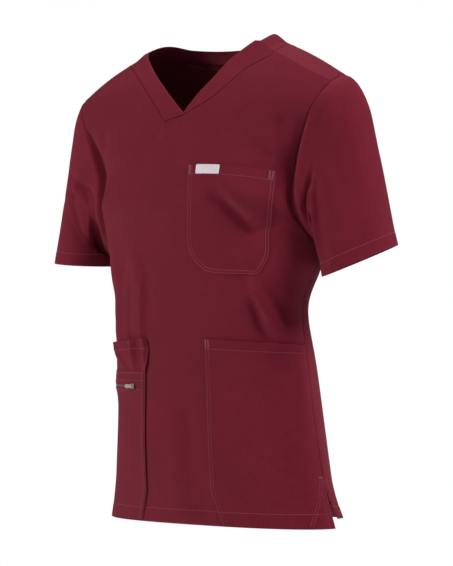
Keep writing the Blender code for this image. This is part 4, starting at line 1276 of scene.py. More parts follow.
class Sleeve:
    """A short sleeve set in an armhole. A place on it is (turn, part): turn runs round from the
    armpit over the front, and part runs down from the seam to the cuff."""

    def __init__(self, side):
        self.mirror = np.array((1 if side == "left" else -1, 1, 1))
        self.folds = SLEEVE_FOLDS[side]
        self.creases = SLEEVE_CREASES[side]
        self.centre = np.array(CUFF_CENTRE[side])
        self.rise = CUFF_TILT[side]
        front = np.linspace(ARMPIT, FRONT.last, 99)
        back = np.linspace(BACK.last, ARMPIT, 113)
        self.edge = np.concatenate((FRONT.bare(front, 1.0), BACK.bare(back, 1.0)[1:]))
        self.outs = np.concatenate((FRONT.normal(front, 1.0), BACK.normal(back, 1.0)[1:]))
        run = run_along(self.edge)
        top = len(front) - 1
        past = (run - run[top]) / (run[-1] - run[top])
        self.turns = np.where(run <= run[top], run / run[top] / 2, 0.5 + past / 2)
        self.leave = unit(np.cross(unit(np.gradient(self.edge, axis=0)), self.outs))

    def bare(self, turn, part):
        """The sleeve with no folds, as a left one."""
        turn, part = np.broadcast_arrays(turn, part)
        angle = 2 * pi * turn
        high = ((1 - np.cos(angle)) / 2)[..., None]
        start = sampled(turn, self.turns, self.edge)
        leave = sampled(turn, self.turns, self.leave) * high
        leave = unit(leave + np.array(LEAVE_LOW) * (1 - high) ** LEAVE_POWER)
        radius = np.where(np.cos(angle) > 0, CUFF_RADIUS_IN, CUFF_RADIUS_OUT)
        out_x = -radius * np.cos(angle)
        out_y = -CUFF_RADIUS_Y * np.sin(angle)
        out_z = self.rise[0] * out_x + self.rise[1] * out_y
        cuff = self.centre + np.stack((out_x, out_y, out_z), -1)
        reach = REACH[0] + (REACH[1] - REACH[0]) * high
        drop = DROP[0] + (DROP[1] - DROP[0]) * high
        down = unit(np.array(ARM_DOWN))
        return cubic(part, start, start + leave * reach, cuff - down * drop, cuff)

    def grid(self):
        """Points, normals and flat places, cuff first, in rows that close on themselves."""
        turns = np.linspace(0, 1, SLEEVE_COLUMNS + 1)
        parts = np.linspace(0, 1, FINE)
        run = run_along(self.bare(turns[:, None], parts))
        at = stations(run, SEAM_STEPS, CUFF_STEPS, SLEEVE_EVEN)
        from_seam = at.T[::-1]
        part = row_by_row(at, run, parts).T[::-1]
        turn = np.broadcast_to(turns, part.shape)
        points = self.bare(turn, part)
        normals = self.outward(points)
        depth = fold_depth(self.folds, turn, part)
        creased = fold_depth(self.creases, turn, part, fading=True)
        depth = depth + creased * (1 - smooth(CREASE_EASE, 1.0, part) * 0.5)
        near = np.exp(-from_seam / SLEEVE_QUIET)
        points = points + normals * (depth * (1 - near))[..., None]
        points[:, -1] = points[:, 0]
        normals = self.outward(points)
        seam = sampled(turns, self.turns, self.outs)
        pull = np.exp(-from_seam / SEAM_PULL)[..., None]
        normals = unit(normals * (1 - pull) + seam * pull)
        girth = (CUFF_RADIUS_IN + CUFF_RADIUS_OUT + 2 * CUFF_RADIUS_Y) / 2 * pi
        flat = np.stack((turn * girth, -from_seam), -1)
        return points, normals, flat, from_seam, turns

    def outward(self, points):
        normals = grid_normals(points, closed=True)
        middle = points[:, :-1].mean(axis=1, keepdims=True)
        return normals * copysign(1, np.sum(normals[:20] * (points - middle)[:20]))


def sleeve(side):
    """A sleeve with its seam, the allowance raised behind it, and its hem with its stitches."""
    shape = Sleeve(side)
    points, normals, flat, from_seam, turns = shape.grid()
    relief = seam_relief(from_seam, *SEAMS["armhole"])
    drawn = column(GROOVE, points[-1, :, 2], 1) * (turns < 0.5)
    relief = relief - drawn * hump(from_seam, 0, GROOVE_ON_SLEEVE)
    up = from_seam[:1] - from_seam
    relief = relief - LINE_DEPTH * hump(up, CUFF_LINE, 0.0011)
    relief = relief + HEM_RISE * (1 - smooth(*CUFF_ALLOWANCE, up))
    worn = seam_wear(from_seam) + 0.7 * hump(up, 0.0, 0.0020)
    points = points + normals * relief[..., None]
    points[:, -1] = points[:, 0]
    points = points * shape.mirror
    normals = normals * shape.mirror
    normals[:, -1] = normals[:, 0]
    cloth = Cloth("sleeve_" + side + "_cloth")
    cloth.hemmed(points, normals, flat, worn, CUFF_HEM + 0.002, 0.003)
    made = cloth.finished(TWILL)
    sewing = Sewing()
    columns = np.arange(len(turns))
    rows = row_by_row(np.full(len(turns), CUFF_LINE), up.T, np.arange(len(up)))
    low = np.floor(rows).astype(int)
    mix = (rows - low)[:, None]
    line = points[low, columns] * (1 - mix) + points[low + 1, columns] * mix
    outs = normals[low, columns] * (1 - mix) + normals[low + 1, columns] * mix
    sewing.line(line, outs)
    return made, sewing.finished("sleeve_" + side + "_stitches", SEWING)


SLEEVE_LEFT, SLEEVE_LEFT_SEWN = sleeve("left")
SLEEVE_RIGHT, SLEEVE_RIGHT_SEWN = sleeve("right")

# ------------------------------------------------------------------ neckband

BAND_RAISE = 0.0004
BAND_THICK = 0.00055
BAND_STEPS = np.array((0, 0.0007, 0.0016, 0.0028, 0.0045))
BAND_EVEN = 7
BAND_NARROW = 0.022  # mesh steps shrink where the band is narrower than this
STAND_SHARE = 0.85  # of the band's width, from its inner edge, stands up
BAND_TURNED = 0.026  # how much is folded in behind
END_RAISE = 0.0007  # the right band's end, over the left one
STAND = {"left": 0.0080, "right": 0.0055}  # how far up the inner edge stands at the shoulders


def band_grid(points, places_run, normals, end_raise):
    """A band's relief: down at the seam, up over the turned edges."""
    width = places_run[-1:]
    to_seam = width - places_run
    relief = BAND_RAISE * np.ones(points.shape[:2])
    relief -= (NECK_DEPTH + BAND_RAISE) * np.exp(-((to_seam / NECK_WIDTH) ** 1.4))
    relief += 0.0003 * hump(to_seam, 0.005, 0.003) + 0.0002 * hump(places_run, 0.004, 0.003)
    relief += end_raise
    return points + normals * relief[..., None], to_seam


def band(name, sheet, ends, end_raise, stand):
    """A doubled strip between its inner edge and its seam. Ends is rows of (edge row, edge place,
    seam row, seam place) along it. Stand is how far up its inner edge stands along it."""
    ends = np.array(ends)
    parts = np.linspace(0, 1, 41)
    inner, seam = ends[:, :2, None], ends[:, 2:, None]
    rows, places = np.moveaxis(inner * (1 - parts) + seam * parts, 1, 0)
    run = run_along(sheet.bare(rows, places))
    scale = np.clip(run[:, -1:] / BAND_NARROW, 0.02, 1)
    at = stations(run, BAND_STEPS * scale, SEAM_STEPS * scale, BAND_EVEN)
    row = row_by_row(at, run, rows).T
    place = row_by_row(at, run, places).T
    points = sheet.point(row, place)
    normals = sheet.normal(row, place)
    points, to_seam = band_grid(points, at.T, normals, end_raise)
    share = np.clip(at.T / (at.T + to_seam), 0, 1)
    points[..., 2] += stand * (1 - smooth(0.0, STAND_SHARE, share))
    own = grid_normals(points)
    normals = unit(normals + own * np.sign(np.sum(own * normals)))
    length = run_along(points.mean(axis=0))
    flat = np.stack((np.broadcast_to(length, at.T.shape), at.T), -1)
    worn = 0.6 * hump(at.T, 0.0, 0.0020) + seam_wear(to_seam)
    cloth = Cloth(name)
    cloth.hemmed(points, normals, flat, worn, BAND_TURNED, 0.0025)
    return cloth.finished(TWILL, BAND_THICK)


def front_band(side):
    sign, first, count = (1, V_ROWS[1], 9) if side == "left" else (-1, V_ROWS[0], 15)
    low = np.linspace(first + 1e-4, V_ROWS[2], count)[:-1]
    rows = np.concatenate((low, np.linspace(V_ROWS[2], FRONT.last, 46)))
    ends = [(row, band_inner(row, sign), row, front_neck(row, sign)) for row in rows]
    raise_by = 0.0
    if side == "right":
        raise_by = END_RAISE * (1 - smooth(V_ROWS[2], V_ROWS[2] + 0.25, rows))
    stand = STAND[side] * smooth(V_ROWS[2] + 0.9, FRONT.last, rows)
    return band("band_" + side + "_cloth", FRONT, ends, raise_by, stand)


def back_band():
    steps = np.linspace(0, NECK.last, 4 * NECK.last + 1)
    neck = NECK(steps)
    left = [
        (edge_row, BACK.place_at(edge_row, edge_x), row, BACK.place_at(row, x))
        for row, x, edge_row, edge_x in np.minimum(neck, (15, 1, 15, 1))
    ]
    right = [(edge_row, -edge, row, -place) for edge_row, edge, row, place in left[:0:-1]]
    x = np.array([BACK.bare(row, place)[0] for row, place, _, _ in right + left])
    stand = STAND["left"] * smooth(0.045, 0.108, x) + STAND["right"] * smooth(0.080, 0.110, -x)
    return band("band_back_cloth", BACK, right + left, 0.0, stand)


BAND_LEFT = front_band("left")
BAND_RIGHT = front_band("right")
BAND_BACK = back_band()

# ------------------------------------------------------------------ patches on the front

PATCH_STEPS = np.array(
    (0, 0.0003, 0.0007, 0.0011, 0.0015, 0.0019, 0.0024, 0.0035, 0.0050, 0.0056, 0.0060, 0.0064, 0.0072)
)
MOUTH_STEPS = np.array((0.0005, 0.0014, 0.0035, 0.0070, 0.0105, 0.0130, 0.0139, 0.0145, 0.0151, 0.0162))
MOUTH_HEM = 0.0145
MOUTH_SLOPE = 0.13  # a lower pocket's mouth ends this far down, in rows, at the side
SLOPE_REACH = 0.060  # how far down the pocket the slope is felt
FIRST_LINE = 0.0015  # double stitching, from the sewn edge
SECOND_LINE = 0.0060
PATCH_BASE = 0.0009  # outer skin over the cloth beneath
PATCH_EVEN = 30
PATCH_FOOT = 0.0075  # even rows end this far above the lower edge
SEWN_SHARE = 0.25  # of a patch's height is left at its sewn edge
SEWN_ROUND = 0.0006  # and it rises over about this distance
PATCH_THICK = 0.0005
MOUTH_TURN = 0.00050


class Patch:
    """A patch pocket's outline on the front, and where places on it lie."""

    def __init__(self, outline, sign):
        self.outline = outline
        self.sign = sign
        self.top = outline[-1][0]

    def height(self, z):
        """How far up the flat cloth a height on the middle line is."""
        return FRONT.up(FRONT.row_of(z))

    def edges(self, z):
        """The inner and outer edges at these heights, as distances from the middle line."""
        inner = column(self.outline, z, 1)
        outer = column(self.outline, z, 2)
        _, run = FRONT.widths(FRONT.row_of(z))
        return inner, np.where(outer > 0, outer, run[:, -1] + outer)

    def lay(self, z, across):
        """Rows and places at heights z, with distances across from the middle line."""
        rows = FRONT.row_of(z)
        parts, run = FRONT.widths(rows)
        return rows, row_by_row(across, run, parts) * self.sign

    def sewn_line(self, sides):
        """The sewn edge on the flat cloth, down the inner edge and along the rest of the sides."""
        z = np.array([row[0] for row in self.outline])
        inner, outer = self.edges(z)
        up = self.height(z)
        line = [] if "inner" not in sides else list(zip(inner, up))[::-1]
        if "outer" in sides:
            line += list(zip(outer, up))
        return np.array(line)


def patch(name, outline, sign, sides, lift, material=TWILL, mouth=True, slope=0.0):
    """A patch with its mouth turned in and its sewn sides pressed down. Lift(z, s, away, up) is its
    height over the front."""
    shape = Patch(outline, sign)
    depth = shape.height(shape.top) - shape.height(outline[0][0])
    near_top = MOUTH_STEPS if mouth else np.array((0.0004, 0.0015))
    even = np.linspace(near_top[-1], depth - PATCH_FOOT, max(int(depth / GRAIN), 4))[1:]
    up = np.concatenate(((0,), near_top, even, depth - PATCH_STEPS[-2::-1]))
    up = up[np.concatenate(((True,), np.diff(up) > 1e-5))]
    heights = shape.height(shape.top) - up
    z = np.interp(np.interp(heights, FRONT.fine_run, FRONT.fine_rows), FRONT.fine_rows, FRONT.fine_z)
    inner, outer = shape.edges(z)
    wide = (outer - inner)[:, None]
    across = inner[:, None] + stations(wide, PATCH_STEPS, PATCH_STEPS, PATCH_EVEN)
    rows, places = shape.lay(z, across)
    felt = slope * np.clip(1 - up / SLOPE_REACH, 0, 1)[:, None]
    rows = rows[:, None] - felt * (across - inner[:, None]) / wide
    points = FRONT.point(rows, places)
    normals = FRONT.normal(rows, places)
    flat_place = np.stack((across, np.broadcast_to(heights[:, None], across.shape)), -1)
    away, _ = nearest(flat_place, shape.sewn_line(sides))
    height = lift(np.broadcast_to(z[:, None], across.shape), across, away, up[:, None])
    points = points + normals * height[..., None]
    worn = 0.6 * hump(away, 0.0006, 0.0008)
    flat = flat_place * (sign, 1)
    cloth = Cloth(name)
    if mouth:
        worn = worn + 0.6 * hump(up[:, None], 0.0, 0.0018)
        cloth.hemmed(points, normals, flat, worn, MOUTH_HEM + 0.001, -0.0015, MOUTH_TURN)
    else:
        cloth.grid(points, flat, worn, normals)
    shape.made = cloth.finished(material, PATCH_THICK)
    shape.laid = Laid(points, normals, up, across)
    return shape


def sewn_edge(away, height):
    """A height that is pressed down to the cloth beneath at a sewn edge, with its stitches' lines
    drawn in."""
    rounded = height * (1 - (1 - SEWN_SHARE) * np.exp(-((away / SEWN_ROUND) ** 1.5)))
    rounded = rounded + 0.0004 * (1 - smooth(0.006, 0.0085, away)) * smooth(0, 0.001, away)
    for line in (FIRST_LINE, SECOND_LINE):
        rounded = rounded - LINE_DEPTH * hump(away, line, 0.0006)
    return rounded


def mouth_hem(up):
    """The doubled cloth along a mouth, and the line that holds it."""
    doubled = 0.0005 * (1 - smooth(MOUTH_HEM, MOUTH_HEM + 0.002, up))
    return doubled - LINE_DEPTH * hump(up, MOUTH_HEM, 0.0007)


def hem_line(z):
    """The bottom hem's stitches go through the patches."""
    return hem_relief(z - FRONT.fine_z[0], 0.0010)


RIPPLES = 3  # along the chest pocket's mouth, from this distance on and over this width
RIPPLES_FROM = 0.020
RIPPLES_WIDTH = 0.148


def chest_lift(z, s, away, up):
    share = (s - RIPPLES_FROM) / RIPPLES_WIDTH
    ripple = 0.0006 * hump(up, 0, 0.02) * np.sin(share * RIPPLES * pi) ** 2
    return sewn_edge(away, PATCH_BASE) + mouth_hem(up) + 0.0006 * hump(up, 0, 0.004) + ripple


def left_lift(z, s, away, up):
    gape = 0.0016 * hump(up, 0, 0.028) * hump(s, 0.098, 0.026)
    gape = gape + 0.0009 * hump(up, 0, 0.030) * hump(s, 0.150, 0.014)
    return sewn_edge(away, PATCH_BASE) + mouth_hem(up) + hem_line(z) + 0.0005 * hump(up, 0, 0.004) + gape


EDGE_PROUD = 0.0011  # how far the right pocket's inner edge stands off the front
BUCKLE_Z = -0.471
BUCKLES = (
    # height, distance from the middle line at BUCKLE_Z, slant, half width
    (0.0082, 0.0980, 0.00, 0.0068),
    (0.0046, 0.1400, 0.92, 0.0090),
    (0.0056, 0.0695, 0.00, 0.0050),
)


def right_lift(z, s, away, up):
    """The mouth of this one buckles, and its inner edge stands off the front."""
    buckle = 0.0
    for rise, place, slant, width in BUCKLES:
        buckle = buckle + rise * hump(s, place + slant * (z - BUCKLE_Z), width)
    buckle = buckle * smooth(-0.498, -0.460, z)
    share = hump(away, 0, 0.011) * smooth(-0.712, -0.680, z) * (1 - smooth(-0.470, -0.444, z))
    edge = sewn_edge(away, PATCH_BASE)
    flat_edge = PATCH_BASE + 0.0004 - 0.0003 * hump(away, SECOND_LINE, 0.0006)
    edge = edge * (1 - share) + (flat_edge + EDGE_PROUD) * share
    return edge + buckle + mouth_hem(up) + hem_line(z) + 0.0004 * hump(up, 0, 0.004)


def phone_lift(z, s, away, up):
    """Lies on the pocket beneath, and opens along its zip."""
    beneath = right_lift(z, s, s - column(RIGHT_POCKET, z, 1), 0.1)
    off_zip = z - ZIP_Z
    first, last = ZIP_EDGES
    slit = smooth(first - 0.0025, first, s) * (1 - smooth(last, last + 0.002, s))
    swell = smooth(first - 0.018, first, s) * (1 - smooth(last - 0.002, last + 0.010, s))
    swell = 0.0017 * hump(off_zip, 0, 0.014) * swell
    groove = -0.0017 * slit * (1 - smooth(0.0015, 0.0024, np.abs(off_zip)))
    lips = 0.0004 * slit * hump(np.abs(off_zip), 0.0034, 0.0012)
    lines = -LINE_DEPTH * sum(hump(z, line, 0.0006) for line in ZIP_LINES) * smooth(0.076, 0.079, s)
    top = -0.0003 * hump(up, 0.0018, 0.0006)
    return beneath + sewn_edge(away, 0.0010) + swell + groove + lips + lines + top + hem_line(z) * 0.5


CHEST = patch("chest_pocket_cloth", CHEST_POCKET, 1, ("inner", "outer"), chest_lift)
LEFT = patch("pocket_left_cloth", LEFT_POCKET, 1, ("inner",), left_lift, slope=MOUTH_SLOPE)
RIGHT = patch("pocket_right_cloth", RIGHT_POCKET, -1, ("inner",), right_lift, slope=MOUTH_SLOPE)
PHONE = patch("phone_pocket_cloth", PHONE_POCKET, -1, ("inner",), phone_lift, mouth=False)


def tag_lift(z, s, away, up):
    """A woven tag, its edges pressed down."""
    return PATCH_BASE + 0.0017 - 0.0002 * hump(away, 0, 0.0008)


TAG_OUTLINE = ((TAG_Z[0], *TAG_EDGES), (TAG_Z[1], *TAG_EDGES))
TAG = patch(
    "tag_cloth", TAG_OUTLINE, 1, ("inner", "outer"), tag_lift, SILVER_TAPE, mouth=False
)

# The label inside the back of the neck
LABEL_ROWS = (11.45, 12.10)
LABEL_HALF = 0.032
LABEL_UNDER = 0.0016


def neck_label():
    rows = np.linspace(*LABEL_ROWS, 16)
    places = np.array([np.linspace(-1, 1, 33) * BACK.place_at(row, LABEL_HALF) for row in rows])
    points = BACK.point(rows[:, None], places)
    normals = BACK.normal(rows[:, None], places)
    edge = LABEL_HALF * (1 - np.abs(np.linspace(-1, 1, 33)))[None, :]
    points = points - normals * (LABEL_UNDER - 0.0004 * hump(edge, 0, 0.002))[..., None]
    cloth = Cloth("label_cloth")
    cloth.grid(points, BACK.flat(rows, places), 0.0, -normals)
    sewing = Sewing()
    for k in (1, -2):
        sewing.line(points[k] - normals[k] * 0.0001, -normals[k], 0.003)
    return cloth.finished(WHITE_TAPE, 0.0005), sewing.finished("label_stitches", WHITE_THREAD)


LABEL, LABEL_SEWN = neck_label()

# ------------------------------------------------------------------ zip

ZIP_TAPE_HEIGHT = 0.0002  # over the floor of the pocket's slit
TOOTH = (0.00095, 0.0030, 0.0011)
TOOTH_STEP = 0.00125
TOOTH_BEVEL = 0.00022


def zip_line(s, lift):
    """Points, ways along and ways out along the zip."""
    z = np.full(len(s), ZIP_Z)
    rows, places = PHONE.lay(z, s[:, None])
    points = FRONT.point(rows, places[:, 0])
    normals = FRONT.normal(rows, places[:, 0])
    clear = np.full(len(s), 0.02)  # of the pocket's edges
    height = phone_lift(z, s, clear, clear) + lift
    points = points + normals * height[:, None]
    return points, unit(np.gradient(points, axis=0)), normals


def zip_tape():
    s = np.linspace(ZIP_EDGES[0] - 0.001, ZIP_EDGES[1] + 0.001, 60)
    points, along, normals = zip_line(s, ZIP_TAPE_HEIGHT)
    down = unit(np.cross(normals, along))
    across = np.linspace(-0.0024, 0.0024, 7)
    grid = points[:, None] + down[:, None] * across[None, :, None]
    flat = np.stack(np.broadcast_arrays(s[:, None], across[None, :]), -1)
    cloth = Cloth("zip_tape")
    cloth.grid(grid, flat, 0.0, np.repeat(normals[:, None], 7, axis=1))
    return cloth.finished(ZIP_TAPE, 0.0004)


def tooth_shape():
    """One turn of the coil, seen from above: a rounded bar."""
    made = box("tooth", TOOTH, (0, 0, 0))
    bpy.ops.object.mode_set(mode="EDIT")
    bpy.ops.mesh.select_all(action="SELECT")
    bpy.ops.mesh.bevel(offset=TOOTH_BEVEL, segments=1, affect="EDGES")
    bpy.ops.object.mode_set(mode="OBJECT")
    return taken(made)


def zip_teeth():
    s = np.arange(ZIP_EDGES[0] + 0.0008, ZIP_EDGES[1], TOOTH_STEP)
    points, along, normals = zip_line(s, ZIP_TAPE_HEIGHT + TOOTH[2] / 2)
    down = unit(np.cross(normals, along))
    return copies("zip_teeth", tooth_shape(), points, (along, down, normals), NYLON)


ZIP_PLACE = Matrix.Identity(4)
for k, axis in enumerate(HINGE_AXES):
    ZIP_PLACE.col[k][:3] = axis
ZIP_PLACE.col[3][:3] = Vector(HINGE) - Vector(HINGE_AXES[2]) * HINGE_HEIGHT


def box(name, size, centre):
    """A box in the slider's own axes, to be shaped further."""
    bpy.ops.object.select_all(action="DESELECT")
    bpy.ops.mesh.primitive_cube_add(size=1, location=centre, scale=size)
    made = bpy.context.active_object
    made.name = name
    bpy.ops.object.transform_apply(location=True, rotation=True, scale=True)
    return made


def select_faces(made, wanted):
    """In edit mode, selects the faces whose centre and normal are wanted."""
    mesh = bmesh.from_edit_mesh(made.data)
    bpy.ops.mesh.select_all(action="DESELECT")
    for face in mesh.faces:
        face.select_set(wanted(face.calc_center_median(), face.normal))
    bmesh.update_edit_mesh(made.data)


def sliced(made, cuts):
    """Goes into edit mode and cuts a shape through at places on its axes."""
    bpy.ops.object.mode_set(mode="EDIT")
    mesh = bmesh.from_edit_mesh(made.data)
    for axis, place in cuts:
        way = Matrix.Identity(3)[axis]
        every = mesh.verts[:] + mesh.edges[:] + mesh.faces[:]
        bmesh.ops.bisect_plane(mesh, geom=every, plane_co=way * place, plane_no=way)
    bmesh.update_edit_mesh(made.data)


def rounded(made, width):
    """Applies a bevel to every edge sharper than 30 degrees."""
    bevel = made.modifiers.new("bevel", "BEVEL")
    bevel.width = width
    bevel.segments = 3
    bevel.limit_method = "ANGLE"
    bevel.angle_limit = radians(30)
    apply_modifiers(made)


SLIDER_SIZE = (0.0085, 0.0070, 0.0012)
BRIDGE_LENGTH = 0.0050
BRIDGE_WIDTH = 0.0016
BRIDGE_INSIDE = 0.0022
BRIDGE_THICK = 0.0006
FLANGE_DEPTH = 0.0017
PULL_LENGTH = 0.0180
PULL_WIDTH = 0.0056
PULL_THICK = 0.0009
PULL_BAR = 0.0009
PULL_HOLE = (0.0034, 0.0030)
GRIP_STOP = 0.0034  # the grip's hollow ends this far from the tab's end
GRIP_WAIST = 0.0060
TAB_TIP, TAB_HEAD, TAB_WAIST = 0.45, 0.80, 0.92  # shares of its width, at its ends and past the eye
SLIDER_TAIL = 0.72  # share of its width behind
FLANGE_TAPER = (0.94, 0.8, 1)


def zip_slider():
    """The slider: a plate narrowed behind, two flanges that hold the coil, and the bridge."""
    length, width, thick = SLIDER_SIZE
    plate = box("slider_body", SLIDER_SIZE, (0, 0, thick / 2))
    bpy.ops.object.mode_set(mode="EDIT")
    bpy.ops.mesh.select_all(action="SELECT")
    bpy.ops.mesh.subdivide(number_cuts=2)
    select_faces(plate, lambda centre, normal: normal.x > 0.9)
    bpy.ops.transform.resize(value=(1, SLIDER_TAIL, 1))
    for side in (-1, 1):
        select_faces(plate, lambda centre, normal: normal.z < -0.9 and centre.y * side > width / 6)
        bpy.ops.mesh.extrude_region_move(TRANSFORM_OT_translate={"value": (0, 0, -FLANGE_DEPTH)})
        bpy.ops.transform.resize(value=FLANGE_TAPER)
    select_faces(plate, lambda centre, normal: normal.z > 0.9)
    bpy.ops.mesh.inset(thickness=0.0007, depth=-0.00018)
    bpy.ops.object.mode_set(mode="OBJECT")
    rounded(plate, 0.00022)
    middle = thick + BRIDGE_INSIDE + BRIDGE_THICK / 2
    bridge = box("bridge", (BRIDGE_LENGTH, BRIDGE_WIDTH, BRIDGE_THICK), (0, 0, middle))
    foot = BRIDGE_LENGTH / 2 - BRIDGE_THICK  # the feet start this far out
    sliced(bridge, ((0, -foot), (0, foot)))
    select_faces(bridge, lambda centre, normal: normal.z < -0.9 and abs(centre.x) > foot)
    sunk = -BRIDGE_INSIDE - 0.0003
    bpy.ops.mesh.extrude_region_move(TRANSFORM_OT_translate={"value": (0, 0, sunk)})
    bpy.ops.object.mode_set(mode="OBJECT")
    rounded(bridge, 0.00018)
    return joined((plate, bridge), PLATED)


def joined(parts, material):
    """One object from several, placed at the slider."""
    pick(parts[0])
    for part in parts[1:]:
        part.select_set(True)
    if len(parts) > 1:
        bpy.ops.object.join()
    made = bpy.context.active_object
    made.data.transform(ZIP_PLACE)
    made.data.materials.clear()
    made.data.materials.append(material)
    pick(made)
    bpy.ops.object.shade_smooth_by_angle(angle=radians(35))
    return made


def pull_tab():
    """The flat tab: an eye that hangs on the bridge, a neck, and a grip with a raised rim."""
    far = PULL_LENGTH - PULL_BAR / 2
    near = -PULL_BAR / 2
    middle = ((far + near) / 2, 0, HINGE_HEIGHT)
    plate = box("tab_body", (PULL_LENGTH, PULL_WIDTH, PULL_THICK), middle)
    eye_start = PULL_BAR / 2
    eye_stop = eye_start + PULL_HOLE[0]
    cuts = ((0, eye_start), (0, eye_stop), (0, far - GRIP_STOP), (0, far - GRIP_WAIST))
    cuts += ((1, -PULL_HOLE[1] / 2), (1, PULL_HOLE[1] / 2))
    sliced(plate, cuts)

    def in_eye(centre, normal):
        inside = eye_start < centre.x < eye_stop and abs(centre.y) < PULL_HOLE[1] / 2
        return inside and abs(normal.z) > 0.9

    select_faces(plate, in_eye)
    bpy.ops.mesh.bridge_edge_loops()
    for vertex in bmesh.from_edit_mesh(plate.data).verts:
        for place, share in ((far, TAB_TIP), (near, TAB_HEAD), (eye_stop, TAB_WAIST)):
            if abs(vertex.co.x - place) < 0.0001:
                vertex.co.y *= share
    bmesh.update_edit_mesh(plate.data)

    def in_grip(centre, normal):
        return abs(normal.z) > 0.9 and eye_stop < centre.x < far - GRIP_STOP

    select_faces(plate, in_grip)
    bpy.ops.mesh.inset(thickness=0.0008, depth=-0.00014)
    bpy.ops.object.mode_set(mode="OBJECT")
    rounded(plate, 0.00020)
    return joined((plate,), PLATED)


ZIP_TAPE_CLOTH = zip_tape()
ZIP_TEETH = zip_teeth()
SLIDER = zip_slider()
TAB = pull_tab()

# ------------------------------------------------------------------ sewing

VENT_FOOT = 0.004  # the vents' stitches start this far up
VENT_OVER = 0.12  # and run this many rows on past the slit's top


def body_sewing(sheet, laid):
    """The hem and the vents' edges."""
    sewing = Sewing()
    hem_row = sheet.row_of(sheet.fine_z[0] + HEM)
    first = sheet.row_of(sheet.fine_z[0] + VENT_FOOT)
    rows = np.linspace(first, sheet.side_vent + VENT_OVER, 50)
    inset = vent_inset(sheet, rows)
    for sign, half in laid.items():
        sewing.line(*half.at(hem_row, np.linspace(0, 1, 160) * sign))
        sewing.line(*half.at(rows, sign * (1 - inset)))
    return sewing


def vent_inset(sheet, rows):
    """How much of a row lies outside the vents' stitches."""
    parts, run = sheet.widths(rows)
    return 1 - row_by_row(run[:, -1] - VENT_LINE, run, parts)


FRONT_SEWN = body_sewing(FRONT, FRONT_LAID).finished("front_stitches", SEWING)
BACK_SEWN = body_sewing(BACK, BACK_LAID).finished("back_stitches", SEWING)


def inset_line(line, gap):
    """The line moved to its left by a gap, with mitred corners."""
    steps = unit(np.diff(line, axis=0))
    sides = np.stack((-steps[:, 1], steps[:, 0]), -1)
    before = np.concatenate((sides[:1], sides))
    after = np.concatenate((sides, sides[-1:]))
    mitre = (before + after) / (1 + np.sum(before * after, axis=1, keepdims=True))
    return line + mitre * gap


def double_lines(shape, sides):
    """Double stitching inside a patch's sewn edge."""
    line = shape.sewn_line(sides)
    return [inset_line(line, gap) for gap in (FIRST_LINE, SECOND_LINE)]


def vent_lines(shape):
    """The same along the outer edge, from the vent's top down to the hem."""
    top = shape.height(VENT_TOP) + 0.001
    return [line[line[:, 1] < top] for line in double_lines(shape, ("outer",))]


def vent_tack(shape):
    """A bar tack across the vent's top."""
    _, outer = shape.edges(np.array([VENT_TOP]))
    up = shape.height(VENT_TOP) + 0.002
    return ((outer[0] - 0.0085, up), (outer[0] - 0.0010, up))


def level_line(shape, z):
    """A line across a patch at a height."""
    inner, outer = shape.edges(np.array([z]))
    up = shape.height(z)
    return ((inner[0] + 0.001, up), (outer[0] - 0.001, up))


def uprights(shape, start, stop, places):
    """Lines between two heights, at these distances from the middle line."""
    return [((s, shape.height(start)), (s, shape.height(stop))) for s in places]


def dense(line, step=0.002):
    """The line with a point about every step."""
    run = run_along(line)
    return sampled(np.linspace(0, run[-1], max(int(run[-1] / step), 2)), run, line)


def on_patch(shape, line):
    """Points and normals of a patch along a line on the flat cloth."""
    return shape.laid.at(shape.height(shape.top) - line[:, 1], line[:, 0])


def patch_sewing(name, shape, lines, tacks=(), material=SEWING):
    sewing = Sewing()
    for line in lines:
        sewing.line(*on_patch(shape, dense(np.array(line))))
    for tack in tacks:
        points, outs = on_patch(shape, np.array(tack))
        sewing.tack(points[0], points[1], outs[0])
    return sewing.finished(name, material)


CHEST_SEWN = patch_sewing(
    "chest_pocket_stitches",
    CHEST,
    double_lines(CHEST, ("inner", "outer")) + [level_line(CHEST, CHEST.top - MOUTH_HEM)],
    uprights(CHEST, CHEST.top - 0.0015, CHEST.top - 0.014, (0.0207, 0.0252, 0.1620, 0.1665)),
)
LEFT_SEWN = patch_sewing(
    "pocket_left_stitches",
    LEFT,
    double_lines(LEFT, ("inner",))
    + vent_lines(LEFT)
    + [level_line(LEFT, z) for z in (LEFT.top - MOUTH_HEM, HEM_Z)],
    uprights(LEFT, -0.4415, -0.4535, (0.0514, 0.0560)) + [vent_tack(LEFT)],
)
RIGHT_SEWN = patch_sewing(
    "pocket_right_stitches",
    RIGHT,
    double_lines(RIGHT, ("inner",)) + [level_line(RIGHT, RIGHT.top - MOUTH_HEM)],
    uprights(RIGHT, -0.4425, -0.4480, (0.0985,)),
)
PHONE_SEWN = patch_sewing(
    "phone_pocket_stitches",
    PHONE,
    double_lines(PHONE, ("inner",)) + [level_line(PHONE, z) for z in (-0.4918, *ZIP_LINES, HEM_Z)],
)
TAG_SEWN = patch_sewing(
    "tag_stitches",
    TAG,
    uprights(TAG, TAG_Z[0] + 0.001, TAG_Z[1] - 0.001, (TAG_EDGES[0] + 0.001, TAG_EDGES[1] - 0.001)),
    material=WHITE_THREAD,
)
